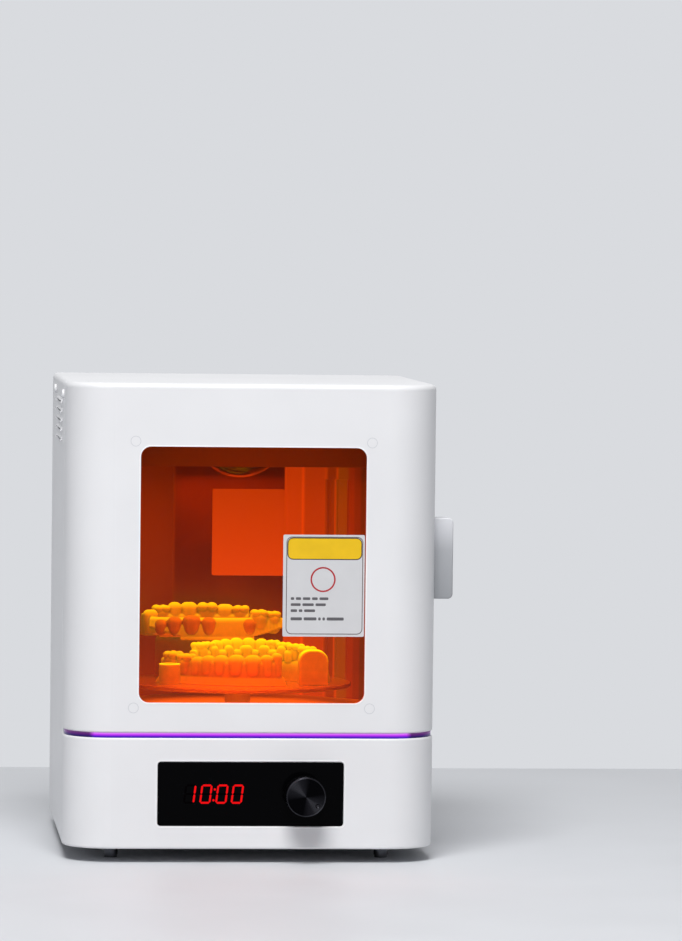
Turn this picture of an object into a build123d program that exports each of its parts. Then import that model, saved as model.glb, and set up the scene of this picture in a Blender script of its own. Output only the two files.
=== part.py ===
from build123d import *
import os
from math import hypot, radians, tan

os.makedirs("parts", exist_ok=True)

# Bench-top light curing box for a dental laboratory, in millimetres.
# X runs to the right, Y to the rear and Z up. The origin is the middle of the footprint, on the bench.

# ---- Driving dimensions: the case --------------------------------------------------------------
body_w = 210.0  # width over the side walls
body_d = 230.0  # depth from the front face to the rear face
body_h = 262.0  # height of the case without its feet
foot_h = 8.0  # bench to the underside of the case
wall = 2.5  # moulded wall of the housing and the door
corner_r = 27.0  # plan radius of the two front corners
rear_r = 6.0  # plan radius of the two rear corners
top_r = 3.0  # rounding of the top edges
rim_r = 1.0  # rounding of the rim around the door's place
edge_r = 1.2  # rounding of the lower edges
base_h = 62.5  # height of the lower front, under the light line
light_gap = 3.0  # height of the light line between base and door
door_d = 44.0  # depth of the door, front face to rear edge
split_gap = 1.0  # gap between door and housing
opening_r = 4.0  # rounding of the lower corner of the door's place
fit = 0.2  # clearance around a sheet that drops into the housing
run = 0.05  # radial clearance of a shaft or pin in its bore

# ---- Driving dimensions: chamber and internals -------------------------------------------------
floor_rise = 9.5  # deck to the top of the chamber floor
floor_t = 3.0
ceiling_drop = 48.4  # top of the case to the underside of the chamber ceiling
ceiling_t = 2.0
liner_t = 1.5
chamber_in = 27.0  # reflector's side inside the case's side
chamber_rear = 35.0  # reflector's back wall in front of the rear face
axis_front = 6.25  # turntable axis in front of the chamber's middle
post_in = 13.0  # posts, magnets and liner screws inside the case's side
chamber_cut = 44.0  # how far each rear corner is cut off, along X and along Y
bezel_t = 2.5
bezel_sill = 3.0  # lip of the bezel above the chamber floor
base_plate_t = 2.5
rear_panel_t = 2.2
rear_border = 13.0  # width of the housing's rear frame
rail_drop = 8.0  # top of the case to the cross rails and to the screws that hold them
rail_h = 8.0
rail_t = 6.0
rail_out = 59.0  # each rail from the middle of the vents
vent_back = 65.0  # middle of the side vents and of the rails behind the split

# ---- Driving dimensions: door, window, panel ---------------------------------------------------
window_side = 41.4  # side face to the window
window_head = 35.6  # window to the top of the case
window_sill = 16.9  # door's lower edge to the window
window_r = 5.7
window_rim = 0.8  # rounding of the window's front edge
window_lap = 5.0  # rim of the pane behind the door's face
pane_t = 3.0
pane_recess = 1.2  # how deep the pane lies in the door's face
seal_t = 0.5
panel_w = 105.0
panel_h = 36.3
panel_r = 1.9
panel_rise = 31.0  # case underside to the middle of the panel
panel_lap = 3.0
panel_t = 2.0
panel_recess = 0.5
panel_rim = 0.5  # rounding of the front edge around the panel
knob_d = 22.3
knob_l = 16.0
knob_x = 30.0
knob_gap = 1.5  # panel face to the back of the knob
knob_travel = 0.7
handle_h = 46.0
handle_out = 11.0
handle_deep = 14.0
handle_rise = 97.5  # door's lower edge to the middle of the handle
hinge_in = 4.0  # hinge axis from the side face and from the rear edge of the door
pin_r = 1.5
tongue_drop = 47.2  # top of the case to the middle of the upper hinge tongue
tongue_t = 3.0
tongue_gap = 0.5

# ---- Places worked out from them ---------------------------------------------------------------
side_x = body_w / 2
front_y = -body_d / 2
rear_y = body_d / 2
deck_z = foot_h + base_h
door_z = deck_z + light_gap
top_z = foot_h + body_h
door_rear = front_y + door_d
split_y = door_rear + split_gap
inner_x = side_x - wall
inner_front = front_y + wall
inner_rear = rear_y - wall
inner_top = top_z - wall
bezel_rear = split_y + bezel_t
window_w = body_w - 2 * window_side
window_h = top_z - window_head - door_z - window_sill
window_z = door_z + window_sill + window_h / 2
panel_z = foot_h + panel_rise
handle_z = door_z + handle_rise
hinge_x = hinge_in - side_x
hinge_y = door_rear - hinge_in
tongue_z = top_z - tongue_drop
rail_z = top_z - rail_drop
vent_y = split_y + vent_back
floor_z = deck_z + floor_rise
ceiling_z = top_z - ceiling_drop
ceiling_top = ceiling_z + ceiling_t
chamber_w = body_w - 2 * chamber_in
chamber_back = rear_y - chamber_rear
axis_y = (bezel_rear + chamber_back) / 2 - axis_front
post_x = side_x - post_in

STAND = (Align.CENTER, Align.CENTER, Align.MIN)  # stands on its place
HANG = (Align.CENTER, Align.CENTER, Align.MAX)  # hangs under its place


def facing(y):
    """A sketch plane at depth y that faces the front: local x is X, local y is Z."""
    return Plane(origin=(0, y, 0), x_dir=(1, 0, 0), z_dir=(0, -1, 0))


def outline(sketch, inset):
    """Adds the plan outline of the case to the sketch, moved in from the outer faces."""
    Rectangle(body_w - 2 * inset, body_d - 2 * inset)
    if inset < corner_r:
        fillet(sketch.vertices().group_by(Axis.Y)[0], corner_r - inset)
    if inset < rear_r:
        fillet(sketch.vertices().group_by(Axis.Y)[-1], rear_r - inset)


def keep_front(y):
    """Keeps only what lies in front of depth y."""
    split(bisect_by=facing(y), keep=Keep.TOP)


def on_rim(edge):
    """True for the outer edges of the door's place in the housing."""
    p = edge @ 0.5
    if p.Y > split_y + 0.01 or p.Z < deck_z - 0.01:
        return False
    corner = hypot(abs(p.X) - side_x + corner_r, p.Y - front_y - corner_r)
    shoulder = hypot(abs(p.X) - side_x + top_r, p.Z - top_z + top_r)
    gaps = (
        abs(p.X) - side_x,
        p.Z - top_z,
        p.Y - front_y,
        corner - corner_r if p.Y < front_y + corner_r else 1,
        shoulder - top_r if p.Z > top_z - top_r else 1,
    )
    return min(abs(gap) for gap in gaps) < 0.01


def add_screws(plane, places, shank_r, shank_l, head_r, head_l):
    """Adds pan-head screws to the part in progress: heads on the plane, shanks behind it."""
    with Locations(plane):
        with Locations(*places):
            Cylinder(head_r, head_l, align=STAND)
            Cylinder(shank_r, shank_l, align=HANG)


# ---- Outer housing -----------------------------------------------------------------------------
louvre_count = 5
louvre_l = 70.0
louvre_h = 3.0
louvre_pitch = 5.4
louvre_drop = 12.6  # top of the case to the middle of the highest louvre
louvre_out = 1.2
deck_back = 6.0  # how far the deck runs on behind the split, to carry the bezel
pin_boss_l = 7.0  # boss under the deck around the lower hinge pin
rail_screw_r = 1.5
rear_screw_r = 1.5
rear_screw_head_r = 2.8
rear_screw_head_l = 1.5
rear_screw_in = 3.5  # screw centre outside the rear opening
rear_screw_tail = 2.0  # shank beyond the rear panel
rear_screw_end = 25.0  # end screws from the top and bottom of the case
rear_screw_places = [
    (x, z)
    for x in (-side_x + rear_border - rear_screw_in, side_x - rear_border + rear_screw_in)
    for z in (foot_h + rear_screw_end, foot_h + body_h / 2, top_z - rear_screw_end)
]

with BuildPart() as outer_housing:
    with BuildSketch(Plane.XY.offset(foot_h)) as plan:
        outline(plan, 0)
    extrude(amount=body_h)
    fillet(outer_housing.faces().sort_by(Axis.Z)[-1].edges(), top_r)
    fillet(outer_housing.faces().sort_by(Axis.Z)[0].edges(), edge_r)
    # the hollow, below and above the deck, and the deck's cut-out behind the bezel
    with BuildSketch(Plane.XY.offset(foot_h)) as plan:
        outline(plan, wall)
    extrude(amount=base_h - wall, mode=Mode.SUBTRACT)
    with BuildSketch(Plane.XY.offset(deck_z)) as plan:
        outline(plan, wall)
    extrude(amount=inner_top - deck_z, mode=Mode.SUBTRACT)
    with BuildSketch(Plane.XY.offset(deck_z - wall)) as plan:
        outline(plan, wall)
        with Locations((0, split_y + deck_back - body_d)):
            Rectangle(2 * body_w, 2 * body_d, mode=Mode.SUBTRACT)
    extrude(amount=wall, mode=Mode.SUBTRACT)
    # the door's place, cut from side to side with a rounded lower corner
    with BuildSketch(Plane.YZ) as place:
        with BuildLine():
            Polyline(
                (split_y, 2 * top_z),
                (split_y, deck_z),
                (2 * front_y, deck_z),
                (2 * front_y, 2 * top_z),
                close=True,
            )
        make_face()
        fillet(place.vertices().sort_by(Axis.Y)[-2:].sort_by(Axis.Z)[0], opening_r)
    extrude(amount=body_w, both=True, mode=Mode.SUBTRACT)
    fillet(outer_housing.edges().filter_by(on_rim), rim_r)
    # rear opening with a frame around it
    with BuildSketch(facing(rear_y + wall)):
        with Locations((0, foot_h + body_h / 2)):
            RectangleRounded(body_w - 2 * rear_border, body_h - 2 * rear_border, rear_border / 2)
        with Locations(*rear_screw_places):
            Circle(rear_screw_r + run)
    extrude(amount=3 * wall, mode=Mode.SUBTRACT)
    # place of the display panel
    with BuildSketch(facing(inner_front + wall)):
        with Locations((0, panel_z)):
            RectangleRounded(panel_w, panel_h, panel_r)
    extrude(amount=3 * wall, mode=Mode.SUBTRACT)
    fillet(outer_housing.faces().sort_by(Axis.Y)[0].inner_wires()[0].edges(), panel_rim)
    # louvres: a sloped hood with a slot under it, on both sides
    for side in (-1, 1):
        for n in range(louvre_count):
            z = top_z - louvre_drop - n * louvre_pitch
            with BuildSketch(Plane.XZ.offset(-(vent_y - louvre_l / 2))):
                with BuildLine():
                    Polyline(
                        (side * (side_x - wall / 2), z + louvre_h / 2),
                        (side * side_x, z + louvre_h / 2),
                        (side * (side_x + louvre_out), z - louvre_h / 4),
                        (side * (side_x + louvre_out), z - louvre_h / 2),
                        (side * (side_x - wall / 2), z),
                        close=True,
                    )
                make_face()
            extrude(amount=-louvre_l)
            with Locations((side * (side_x - wall / 2), vent_y, z - louvre_h / 4)):
                Box(3 * wall, louvre_l - louvre_h, louvre_h / 2, mode=Mode.SUBTRACT)
    # boss under the deck for the lower hinge pin
    with Locations((hinge_x, hinge_y, deck_z - wall)):
        Cylinder(hinge_in, pin_boss_l, align=HANG)
    with Locations((hinge_x, hinge_y, deck_z)):
        Cylinder(pin_r + run, 2 * (wall + pin_boss_l), mode=Mode.SUBTRACT)
    # screw holes of the cross rails
    with Locations((0, vent_y - rail_out, rail_z), (0, vent_y + rail_out, rail_z)):
        Cylinder(rail_screw_r + run, 2 * body_w, rotation=(0, 90, 0), mode=Mode.SUBTRACT)

# ---- Base plate and feet -----------------------------------------------------------------------
foot_d = 8.0
foot_in = 28.0  # foot's middle inside the case's side
foot_ends = 33.0  # foot's middle inside the front and rear faces
foot_x = side_x - foot_in
foot_y = rear_y - foot_ends
foot_pad_t = 1.5
foot_step = 0.4  # the pad is this much slimmer than the foot
foot_screw_r = 2.0
foot_screw_l = 6.0
foot_screw_head_r = 3.8
foot_screw_head_l = 2.4
slot_l = 30.0
slot_w = 4.0
slot_pitch = 12.0
slot_count = 7
foot_places = [(x, y) for x in (-foot_x, foot_x) for y in (-foot_y, foot_y)]
base_top = foot_h + base_plate_t

with BuildPart() as base_plate:
    with BuildSketch(Plane.XY.offset(foot_h)) as plan:
        outline(plan, wall + fit)
        with Locations(*foot_places):
            Circle(foot_screw_r + run, mode=Mode.SUBTRACT)
        # air inlet slots under the control board
        with Locations((0, foot_y / 2)):
            with GridLocations(slot_pitch, 1, slot_count, 1):
                SlotOverall(slot_l, slot_w, rotation=90, mode=Mode.SUBTRACT)
    extrude(amount=base_plate_t)

with BuildPart() as feet:
    with Locations(*foot_places):
        Cylinder(foot_d / 2 - foot_step, foot_pad_t, align=STAND)
    with Locations(*[(x, y, foot_pad_t) for x, y in foot_places]):
        Cylinder(foot_d / 2, foot_h - foot_pad_t, align=STAND)
    with Locations(*[(x, y, foot_h) for x, y in foot_places]):
        Cylinder(foot_screw_r + run, 2 * foot_screw_l, mode=Mode.SUBTRACT)

with BuildPart() as foot_screws:
    add_screws(
        Plane.XY.offset(base_top),
        foot_places,
        foot_screw_r,
        base_plate_t + foot_screw_l,
        foot_screw_head_r,
        foot_screw_head_l,
    )

# ---- Rear panel --------------------------------------------------------------------------------
fan_size = 40.0
fan_t = 10.0
fan_bore_r = 18.5
upper_fan = (0.0, (ceiling_top + inner_top) / 2)
lower_fan_in = 50.0  # lower fan's middle inside the left side
lower_fan_rise = 36.0  # case underside to the lower fan's middle
lower_fan = (lower_fan_in - side_x, foot_h + lower_fan_rise)
grille_rings = ((0.1, 1), (5.5, 6), (10.5, 12), (15.5, 18))  # radius and number of holes
grille_hole_r = 1.9
inlet_rise = 32.0  # case underside to the middle of the inlet and the switch
inlet_z = foot_h + inlet_rise
inlet_pitch = 34.0  # inlet to switch
inlet_w = 28.0
inlet_h = 21.0
switch_in = 23.0  # switch inside the case's side
switch_x = side_x - switch_in
inlet_x = switch_x - inlet_pitch
switch_w = 13.5
switch_h = 20.0
panel_back = inner_rear - rear_panel_t

with BuildPart() as rear_panel:
    with BuildSketch(facing(inner_rear)):
        with Locations((0, (base_top + inner_top) / 2)):
            Rectangle(body_w - 2 * rear_r - 2 * fit, inner_top - base_top - 2 * fit)
        with Locations(upper_fan, lower_fan):
            for ring, count in grille_rings:
                with PolarLocations(ring, count):
                    Circle(grille_hole_r, mode=Mode.SUBTRACT)
        with Locations((inlet_x, inlet_z)):
            Rectangle(inlet_w, inlet_h, mode=Mode.SUBTRACT)
        with Locations((switch_x, inlet_z)):
            Rectangle(switch_w, switch_h, mode=Mode.SUBTRACT)
        with Locations(*rear_screw_places):
            Circle(rear_screw_r + run, mode=Mode.SUBTRACT)
    extrude(amount=rear_panel_t)

# ---- Bezel: the front frame of the chamber, which the door closes against ----------------------
bezel_w = 2 * (inner_x - fit)
bezel_top = inner_top - fit
hinge_slot_w = 7.0  # width of the tongue's slot, from the side wall
hinge_slot_x = -inner_x + hinge_slot_w
leaf_t = 2.0
leaf_h = 28.0
leaf_back = 22.0
leaf_clear = 3.0  # notch of the ceiling around the leaf
bezel_r = 4.0
magnet_x = post_x
magnet_r = 4.0
magnet_t = 4.0
magnet_rise = 40.5  # lower magnet above the door's lower edge
magnet_drop = 56.0  # upper magnet below the top of the case
magnet_zs = (door_z + magnet_rise, top_z - magnet_drop)

with BuildPart() as front_bezel:
    with BuildSketch(facing(bezel_rear)):
        with Locations((0, (deck_z + bezel_top) / 2)):
            Rectangle(bezel_w, bezel_top - deck_z)
        with Locations((0, (floor_z + bezel_sill + ceiling_z) / 2)):
            RectangleRounded(chamber_w, ceiling_z - floor_z - bezel_sill, bezel_r, mode=Mode.SUBTRACT)
        with Locations((hinge_x, tongue_z)):
            Rectangle(2 * (hinge_slot_x - hinge_x), tongue_t + 2 * tongue_gap, mode=Mode.SUBTRACT)
        for z in magnet_zs:
            with Locations((magnet_x, z)):
                Circle(magnet_r + run, mode=Mode.SUBTRACT)
    extrude(amount=bezel_t)

with BuildPart() as catch_magnets:
    for z in magnet_zs:
        with Locations(Plane(origin=(magnet_x, split_y + fit, z), z_dir=(0, 1, 0))):
            Cylinder(magnet_r, magnet_t, align=STAND)

# ---- Chamber: floor, ceiling, reflector and the posts between them -----------------------------
post_r = 3.5
post_front_gap = 15.5  # front posts behind the bezel
post_rear_gap = 21.0  # rear posts in front of the rear face
post_y_front = bezel_rear + post_front_gap
post_y_rear = rear_y - post_rear_gap
post_places = [(x, y) for x in (-post_x, post_x) for y in (post_y_front, post_y_rear)]
post_screw_r = 1.5
post_screw_l = 10.0
post_screw_head_r = 3.0
post_screw_head_l = 2.0
spindle_hole_r = 6.0
air_hole_r = 1.8
air_pitch_x = 7.0
air_pitch_y = 9.0
air_rows = 6
lens_r = 22.3
lens_curve_r = 27.5
lens_flange_t = 1.5
seat_gap = 0.4

with BuildPart() as chamber_floor:
    with BuildSketch(Plane.XY.offset(floor_z - floor_t)):
        with Locations((0, (bezel_rear + panel_back) / 2)):
            Rectangle(bezel_w, panel_back - bezel_rear - fit)
        with Locations((-side_x, panel_back), (side_x, panel_back)):
            Rectangle(4 * rear_r, 2 * rear_r, mode=Mode.SUBTRACT)
        with Locations((0, axis_y)):
            Circle(spindle_hole_r, mode=Mode.SUBTRACT)
        with Locations(*post_places):
            Circle(post_screw_r + run, mode=Mode.SUBTRACT)
    extrude(amount=floor_t)

with BuildPart() as chamber_ceiling:
    with BuildSketch(Plane.XY.offset(ceiling_z)):
        with Locations((0, (bezel_rear + panel_back) / 2)):
            Rectangle(2 * (post_x + post_r), panel_back - bezel_rear - fit)
        with Locations((-side_x, panel_back), (side_x, panel_back)):
            Rectangle(4 * rear_r, 2 * rear_r, mode=Mode.SUBTRACT)
        with Locations((-inner_x, bezel_rear)):
            Rectangle(2 * (hinge_slot_w + leaf_clear), 2 * (leaf_back + leaf_clear), mode=Mode.SUBTRACT)
        with Locations((0, axis_y)):
            Circle(lens_r + fit, mode=Mode.SUBTRACT)
        with Locations(*post_places):
            Circle(post_screw_r + run, mode=Mode.SUBTRACT)
        # air holes between the lens and the reflector's side walls
        for side in (-1, 1):
            with Locations((side * (lens_r + chamber_w / 2) / 2, axis_y)):
                with GridLocations(air_pitch_x, air_pitch_y, 3, air_rows):
                    Circle(air_hole_r, mode=Mode.SUBTRACT)
    extrude(amount=ceiling_t)

with BuildPart() as chassis_posts:
    # lower posts under the chamber floor, upper posts between floor and ceiling
    with Locations(*[(x, y, base_top) for x, y in post_places]):
        Cylinder(post_r, floor_z - floor_t - base_top, align=STAND)
    with Locations(*[(x, y, floor_z) for x, y in post_places]):
        Cylinder(post_r, ceiling_z - floor_z, align=STAND)
    with Locations(*[(x, y, ceiling_z) for x, y in post_places]):
        Cylinder(post_screw_r + run, 2 * post_screw_l, mode=Mode.SUBTRACT)

# corner lamps: windows in the reflector's two cut corners, with a cover, a board and a heat sink each
lamp_mid = (floor_z + ceiling_z) / 2
lamp_ends = 11.8  # corner lamp's opening inside the floor and the ceiling
lamp_h = ceiling_z - floor_z - 2 * lamp_ends
lamp_w = 50.0
lamp_r = 2.0
lamp_cover_t = 2.0
lamp_board_t = 1.6
lamp_board_gap = 3.0
lamp_lap = 4.0
lamp_pillar_r = 1.8
rib_xs = (1.5, 9.0)  # ribs of a corner cover, from its middle line
rib_w = 2.0
rib_out = 4.0
rod_x = 13.7
rod_r = 3.5
rod_out = 3.0
chip_w = 3.5
chip_t = 1.2
chip_pitch = 12.5
chip_rows = 9
rear_chip_pitch = 10.0
lamp_in = 4.0  # how much narrower a corner board is than its opening
fin_in = 6.0  # how much shorter a corner heat sink is
fin_base_t = 3.0
fin_l = 14.0
fin_t = 1.6
fin_pitch = 5.5
board_back = liner_t + lamp_cover_t + lamp_board_gap + lamp_board_t
rear_lamp_w = 43.0
rear_lamp_h = 51.6
rear_lamp_drop = 45.2  # ceiling to the middle of the rear lamp
rear_lamp_z = ceiling_z - rear_lamp_drop
rear_lamp_gap = 1.5  # rear lamp to the right-hand cut corner
diffuser_t = 1.5
chamber_x = chamber_w / 2
rear_lamp_x = chamber_x - chamber_cut - rear_lamp_gap - rear_lamp_w / 2
cut_x = chamber_x - chamber_cut / 2
cut_y = chamber_back - chamber_cut / 2


def chamber_line(inset):
    """Open plan line of the reflector, moved out by inset, from the left front to the right front."""
    reach = inset * tan(radians(22.5))
    x = chamber_x + inset
    y = chamber_back + inset
    return [
        (-x, bezel_rear + fit),
        (-x, chamber_back - chamber_cut + reach),
        (-chamber_x + chamber_cut - reach, y),
        (chamber_x - chamber_cut + reach, y),
        (x, chamber_back - chamber_cut + reach),
        (x, bezel_rear + fit),
    ]


def corner_plane(side, inset):
    """Sketch plane on a cut corner at inset behind its inner face: local y is Z, its normal points inwards."""
    step = inset / 2**0.5
    return Plane(
        origin=(side * (cut_x + step), cut_y + step, lamp_mid), x_dir=(side, -1, 0), z_dir=(-side, -1, 0)
    )


with BuildPart() as chamber_liner:
    with BuildSketch(Plane.XY.offset(floor_z)):
        with BuildLine():
            Polyline(*chamber_line(0), *reversed(chamber_line(liner_t)), close=True)
        make_face()
    extrude(amount=ceiling_z - floor_z)
    for side in (-1, 1):
        with BuildSketch(corner_plane(side, 2 * liner_t)):
            RectangleRounded(lamp_w, lamp_h, lamp_r)
        extrude(amount=4 * liner_t, mode=Mode.SUBTRACT)
    with BuildSketch(facing(chamber_back + 2 * liner_t)):
        with Locations((rear_lamp_x, rear_lamp_z)):
            RectangleRounded(rear_lamp_w - 2 * lamp_lap, rear_lamp_h - 2 * lamp_lap, 1)
    extrude(amount=4 * liner_t, mode=Mode.SUBTRACT)


with BuildPart() as corner_covers:
    # a flat plate with two ribs and a half-round rod on its inner face, in each cut corner
    for side in (-1, 1):
        with BuildSketch(corner_plane(side, liner_t + lamp_cover_t)):
            Rectangle(lamp_w + 2 * lamp_lap, lamp_h + 2 * lamp_lap)
        extrude(amount=lamp_cover_t)
        with BuildSketch(corner_plane(side, liner_t)):
            with Locations((rib_xs[0], 0), (rib_xs[1], 0)):
                Rectangle(rib_w, lamp_h - 2 * fit)
        extrude(amount=rib_out)
        with BuildSketch(corner_plane(side, liner_t)):
            with Locations((rod_x, 0)):
                Rectangle(2 * rod_r, lamp_h - 2 * fit)
        extrude(amount=rod_out)

with BuildPart() as lamp_boards:
    # a board with rows of light-emitting chips behind each corner cover, and one behind the rear diffuser
    for side in (-1, 1):
        with BuildSketch(corner_plane(side, board_back)):
            Rectangle(lamp_w - lamp_in, lamp_h - lamp_in / 2)
        extrude(amount=lamp_board_t)
        with BuildSketch(corner_plane(side, board_back - lamp_board_t)):
            with GridLocations(chip_pitch, chip_pitch, 3, chip_rows):
                Rectangle(chip_w, chip_w)
        extrude(amount=chip_t)
        # pillars that stand the board off its cover
        with BuildSketch(corner_plane(side, board_back - lamp_board_t)):
            with GridLocations(lamp_w - lamp_in - lamp_lap, lamp_h - 2 * lamp_lap, 2, 2):
                Circle(lamp_pillar_r)
        extrude(amount=lamp_board_gap)
    with BuildSketch(facing(chamber_back + liner_t + lamp_board_gap)):
        with Locations((rear_lamp_x, rear_lamp_z)):
            Rectangle(rear_lamp_w, rear_lamp_h)
    extrude(amount=lamp_board_t)
    with BuildSketch(facing(chamber_back + liner_t + lamp_board_gap - lamp_board_t)):
        with Locations((rear_lamp_x, rear_lamp_z)):
            with GridLocations(rear_chip_pitch, rear_chip_pitch, 3, 4):
                Rectangle(chip_w, chip_w)
            with GridLocations(rear_lamp_w - lamp_lap, rear_lamp_h - lamp_lap, 2, 2):
                Circle(lamp_pillar_r)
    extrude(amount=lamp_board_gap - lamp_board_t)

with BuildPart() as corner_heatsinks:
    # finned heat sinks on the backs of the corner boards
    for side in (-1, 1):
        with BuildSketch(corner_plane(side, board_back + fin_base_t)):
            Rectangle(lamp_w - lamp_in, lamp_h - fin_in)
        extrude(amount=fin_base_t)
        with BuildSketch(corner_plane(side, board_back + fin_base_t + fin_l)):
            with GridLocations(fin_pitch, 1, int((lamp_w - lamp_in) // fin_pitch), 1):
                Rectangle(fin_t, lamp_h - fin_in)
        extrude(amount=fin_l)

with BuildPart() as rear_diffuser:
    with BuildSketch(facing(chamber_back)):
        with Locations((rear_lamp_x, rear_lamp_z)):
            RectangleRounded(rear_lamp_w, rear_lamp_h, 1)
    extrude(amount=diffuser_t)
    with BuildSketch(facing(chamber_back + liner_t)):
        with Locations((rear_lamp_x, rear_lamp_z)):
            RectangleRounded(rear_lamp_w - 2 * lamp_lap - 2 * fit, rear_lamp_h - 2 * lamp_lap - 2 * fit, 1)
    extrude(amount=liner_t)

# ---- Top lamp: lens, ring, lamp board, heat sink and its rails ---------------------------------
lens_base = ceiling_top + seat_gap
lens_lap = 2.0
lens_drop = lens_curve_r - (lens_curve_r**2 - lens_r**2) ** 0.5
ring_t = 2.0
emitter_r = 10.0
emitter_t = 1.2
board_foot_r = 1.6
board_foot_l = 2.0
board_foot_in = 7.0  # feet of the lamp board inside the lens's rim
top_board_t = 1.6
top_board_w = 46.0
sink_w = 90.0
sink_d = 84.0
sink_base_t = 4.0
ring_w = 4.0

with BuildPart() as top_lens:
    with Locations((0, axis_y, lens_base - lens_drop + lens_curve_r)):
        Sphere(lens_curve_r)
    split(bisect_by=Plane.XY.offset(lens_base), keep=Keep.BOTTOM)
    with Locations((0, axis_y, lens_base)):
        Cylinder(lens_r + lens_lap, lens_flange_t, align=STAND)

with BuildPart() as lens_ring:
    with Locations((0, axis_y, ceiling_z)):
        Cylinder(lens_r + ring_w, ring_t, align=HANG)
        Cylinder(lens_r + fit, 3 * ring_t, mode=Mode.SUBTRACT)

rail_bottom = rail_z - rail_h / 2
sink_top = rail_bottom
sink_bottom = lens_base + lens_flange_t + board_foot_l + top_board_t

with BuildPart() as top_lamp_board:
    with BuildSketch(Plane.XY.offset(sink_bottom - top_board_t)):
        with Locations((0, axis_y)):
            Rectangle(top_board_w, top_board_w)
    extrude(amount=top_board_t)
    with Locations((0, axis_y, sink_bottom - top_board_t)):
        Cylinder(emitter_r, emitter_t, align=HANG)
    # feet of the board on the lens flange
    with Locations((0, axis_y, sink_bottom - top_board_t)):
        with GridLocations(2 * (lens_r - board_foot_in), 2 * (lens_r - board_foot_in), 2, 2):
            Cylinder(board_foot_r, board_foot_l, align=HANG)

with BuildPart() as top_heatsink:
    with BuildSketch(Plane.XY.offset(sink_bottom)):
        with Locations((0, axis_y)):
            Rectangle(sink_w, sink_d)
    extrude(amount=sink_base_t)
    with BuildSketch(Plane.XY.offset(sink_bottom + sink_base_t)):
        with Locations((0, axis_y)):
            with GridLocations(fin_pitch, 1, int(sink_w // fin_pitch), 1):
                Rectangle(fin_t, sink_d)
    extrude(amount=sink_top - sink_bottom - sink_base_t)

with BuildPart() as cross_rails:
    with Locations((0, vent_y - rail_out, rail_z), (0, vent_y + rail_out, rail_z)):
        Box(2 * (inner_x - fit), rail_t, rail_h)
        Cylinder(rail_screw_r + run, 3 * body_w, rotation=(0, 90, 0), mode=Mode.SUBTRACT)

# ---- Light line: guide strip and its lamp board ------------------------------------------------
guide_inset = 1.0
guide_clear = 7.0  # guide's ends in front of the hinge axis
strip_chip_w = 3.0
strip_chip_d = 1.6
strip_chip_h = 1.2
strip_chip_pitch = 11.5
strip_chip_count = 13
guide_w = 4.0
guide_gap = 0.5  # guide to the underside of the door
guide_end = hinge_y - guide_clear
strip_w = 5.0
strip_t = 0.8

with BuildPart() as light_guide:
    with BuildSketch(Plane.XY.offset(deck_z)) as plan:
        outline(plan, guide_inset)
    extrude(amount=light_gap - guide_gap)
    with BuildSketch(Plane.XY.offset(deck_z)) as plan:
        outline(plan, guide_inset + guide_w)
    extrude(amount=light_gap - guide_gap, mode=Mode.SUBTRACT)
    keep_front(guide_end)

with BuildPart() as light_strip:
    with BuildSketch(Plane.XY.offset(deck_z)) as plan:
        outline(plan, guide_inset + guide_w + fit)
    extrude(amount=strip_t)
    with BuildSketch(Plane.XY.offset(deck_z)) as plan:
        outline(plan, guide_inset + guide_w + fit + strip_w)
    extrude(amount=strip_t, mode=Mode.SUBTRACT)
    keep_front(guide_end)
    strip_y = front_y + guide_inset + guide_w + fit + strip_chip_d
    with Locations((0, strip_y, deck_z + strip_t)):
        with GridLocations(strip_chip_pitch, 1, strip_chip_count, 1):
            Box(strip_chip_w, strip_chip_d, strip_chip_h, align=STAND)

# ---- Display panel, display and its board ------------------------------------------------------
digits_x = -18.0
digits_z = panel_z
digit_h = 11.2
digit_w = 7.4
digit_pitch = 8.9
digit_count = 4
module_w = 40.0
module_h = 17.0
bushing_r = 3.5
shaft_r = 3.0
board_gap = 9.0  # panel's back to the front board
board_y = inner_front + panel_t + board_gap
board_t = 1.6
board_hole_in = 4.0  # hole centre from a board's edges
board_hole_r = 1.6
spacer_r = 2.8
module_gap = 0.8  # panel's back to the face of the display module
bar_t = 0.5
bar_w = 1.2
bar_gap = 0.4
colon_r = 0.6
colon_h = 5.0
nut_t = 2.0
panel_face = front_y + panel_recess

with BuildPart() as display_panel:
    with BuildSketch(facing(inner_front + panel_t)):
        with Locations((0, panel_z)):
            RectangleRounded(panel_w + 2 * panel_lap, panel_h + 2 * panel_lap, panel_r + panel_lap)
    extrude(amount=panel_t)
    with BuildSketch(facing(inner_front)):
        with Locations((0, panel_z)):
            RectangleRounded(panel_w - 2 * fit, panel_h - 2 * fit, panel_r - fit)
    extrude(amount=wall - panel_recess)
    with BuildSketch(facing(inner_front + 2 * panel_t)):
        with Locations((knob_x, panel_z)):
            Circle(bushing_r + fit)
    extrude(amount=2 * panel_t + wall, mode=Mode.SUBTRACT)

with BuildPart() as display_module:
    with BuildSketch(facing(board_y)):
        with Locations((digits_x, digits_z)):
            Rectangle(module_w, module_h)
    extrude(amount=board_gap - module_gap)
    # the bars of the digits stand up from the face of the module
    with BuildSketch(facing(inner_front + panel_t + module_gap)):
        for n in range(digit_count):
            x = digits_x + (n - (digit_count - 1) / 2) * digit_pitch
            with Locations(*[(x, digits_z + k * digit_h / 2) for k in (-1, 0, 1)]):
                Rectangle(digit_w - 2 * bar_w - bar_gap, bar_w)
            with Locations((x, digits_z)):
                with GridLocations(digit_w - bar_w, digit_h / 2, 2, 2):
                    Rectangle(bar_w, digit_h / 2 - bar_w - bar_gap)
        with Locations((digits_x, digits_z - colon_h / 2), (digits_x, digits_z + colon_h / 2)):
            Circle(colon_r)
    extrude(amount=bar_t)

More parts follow.
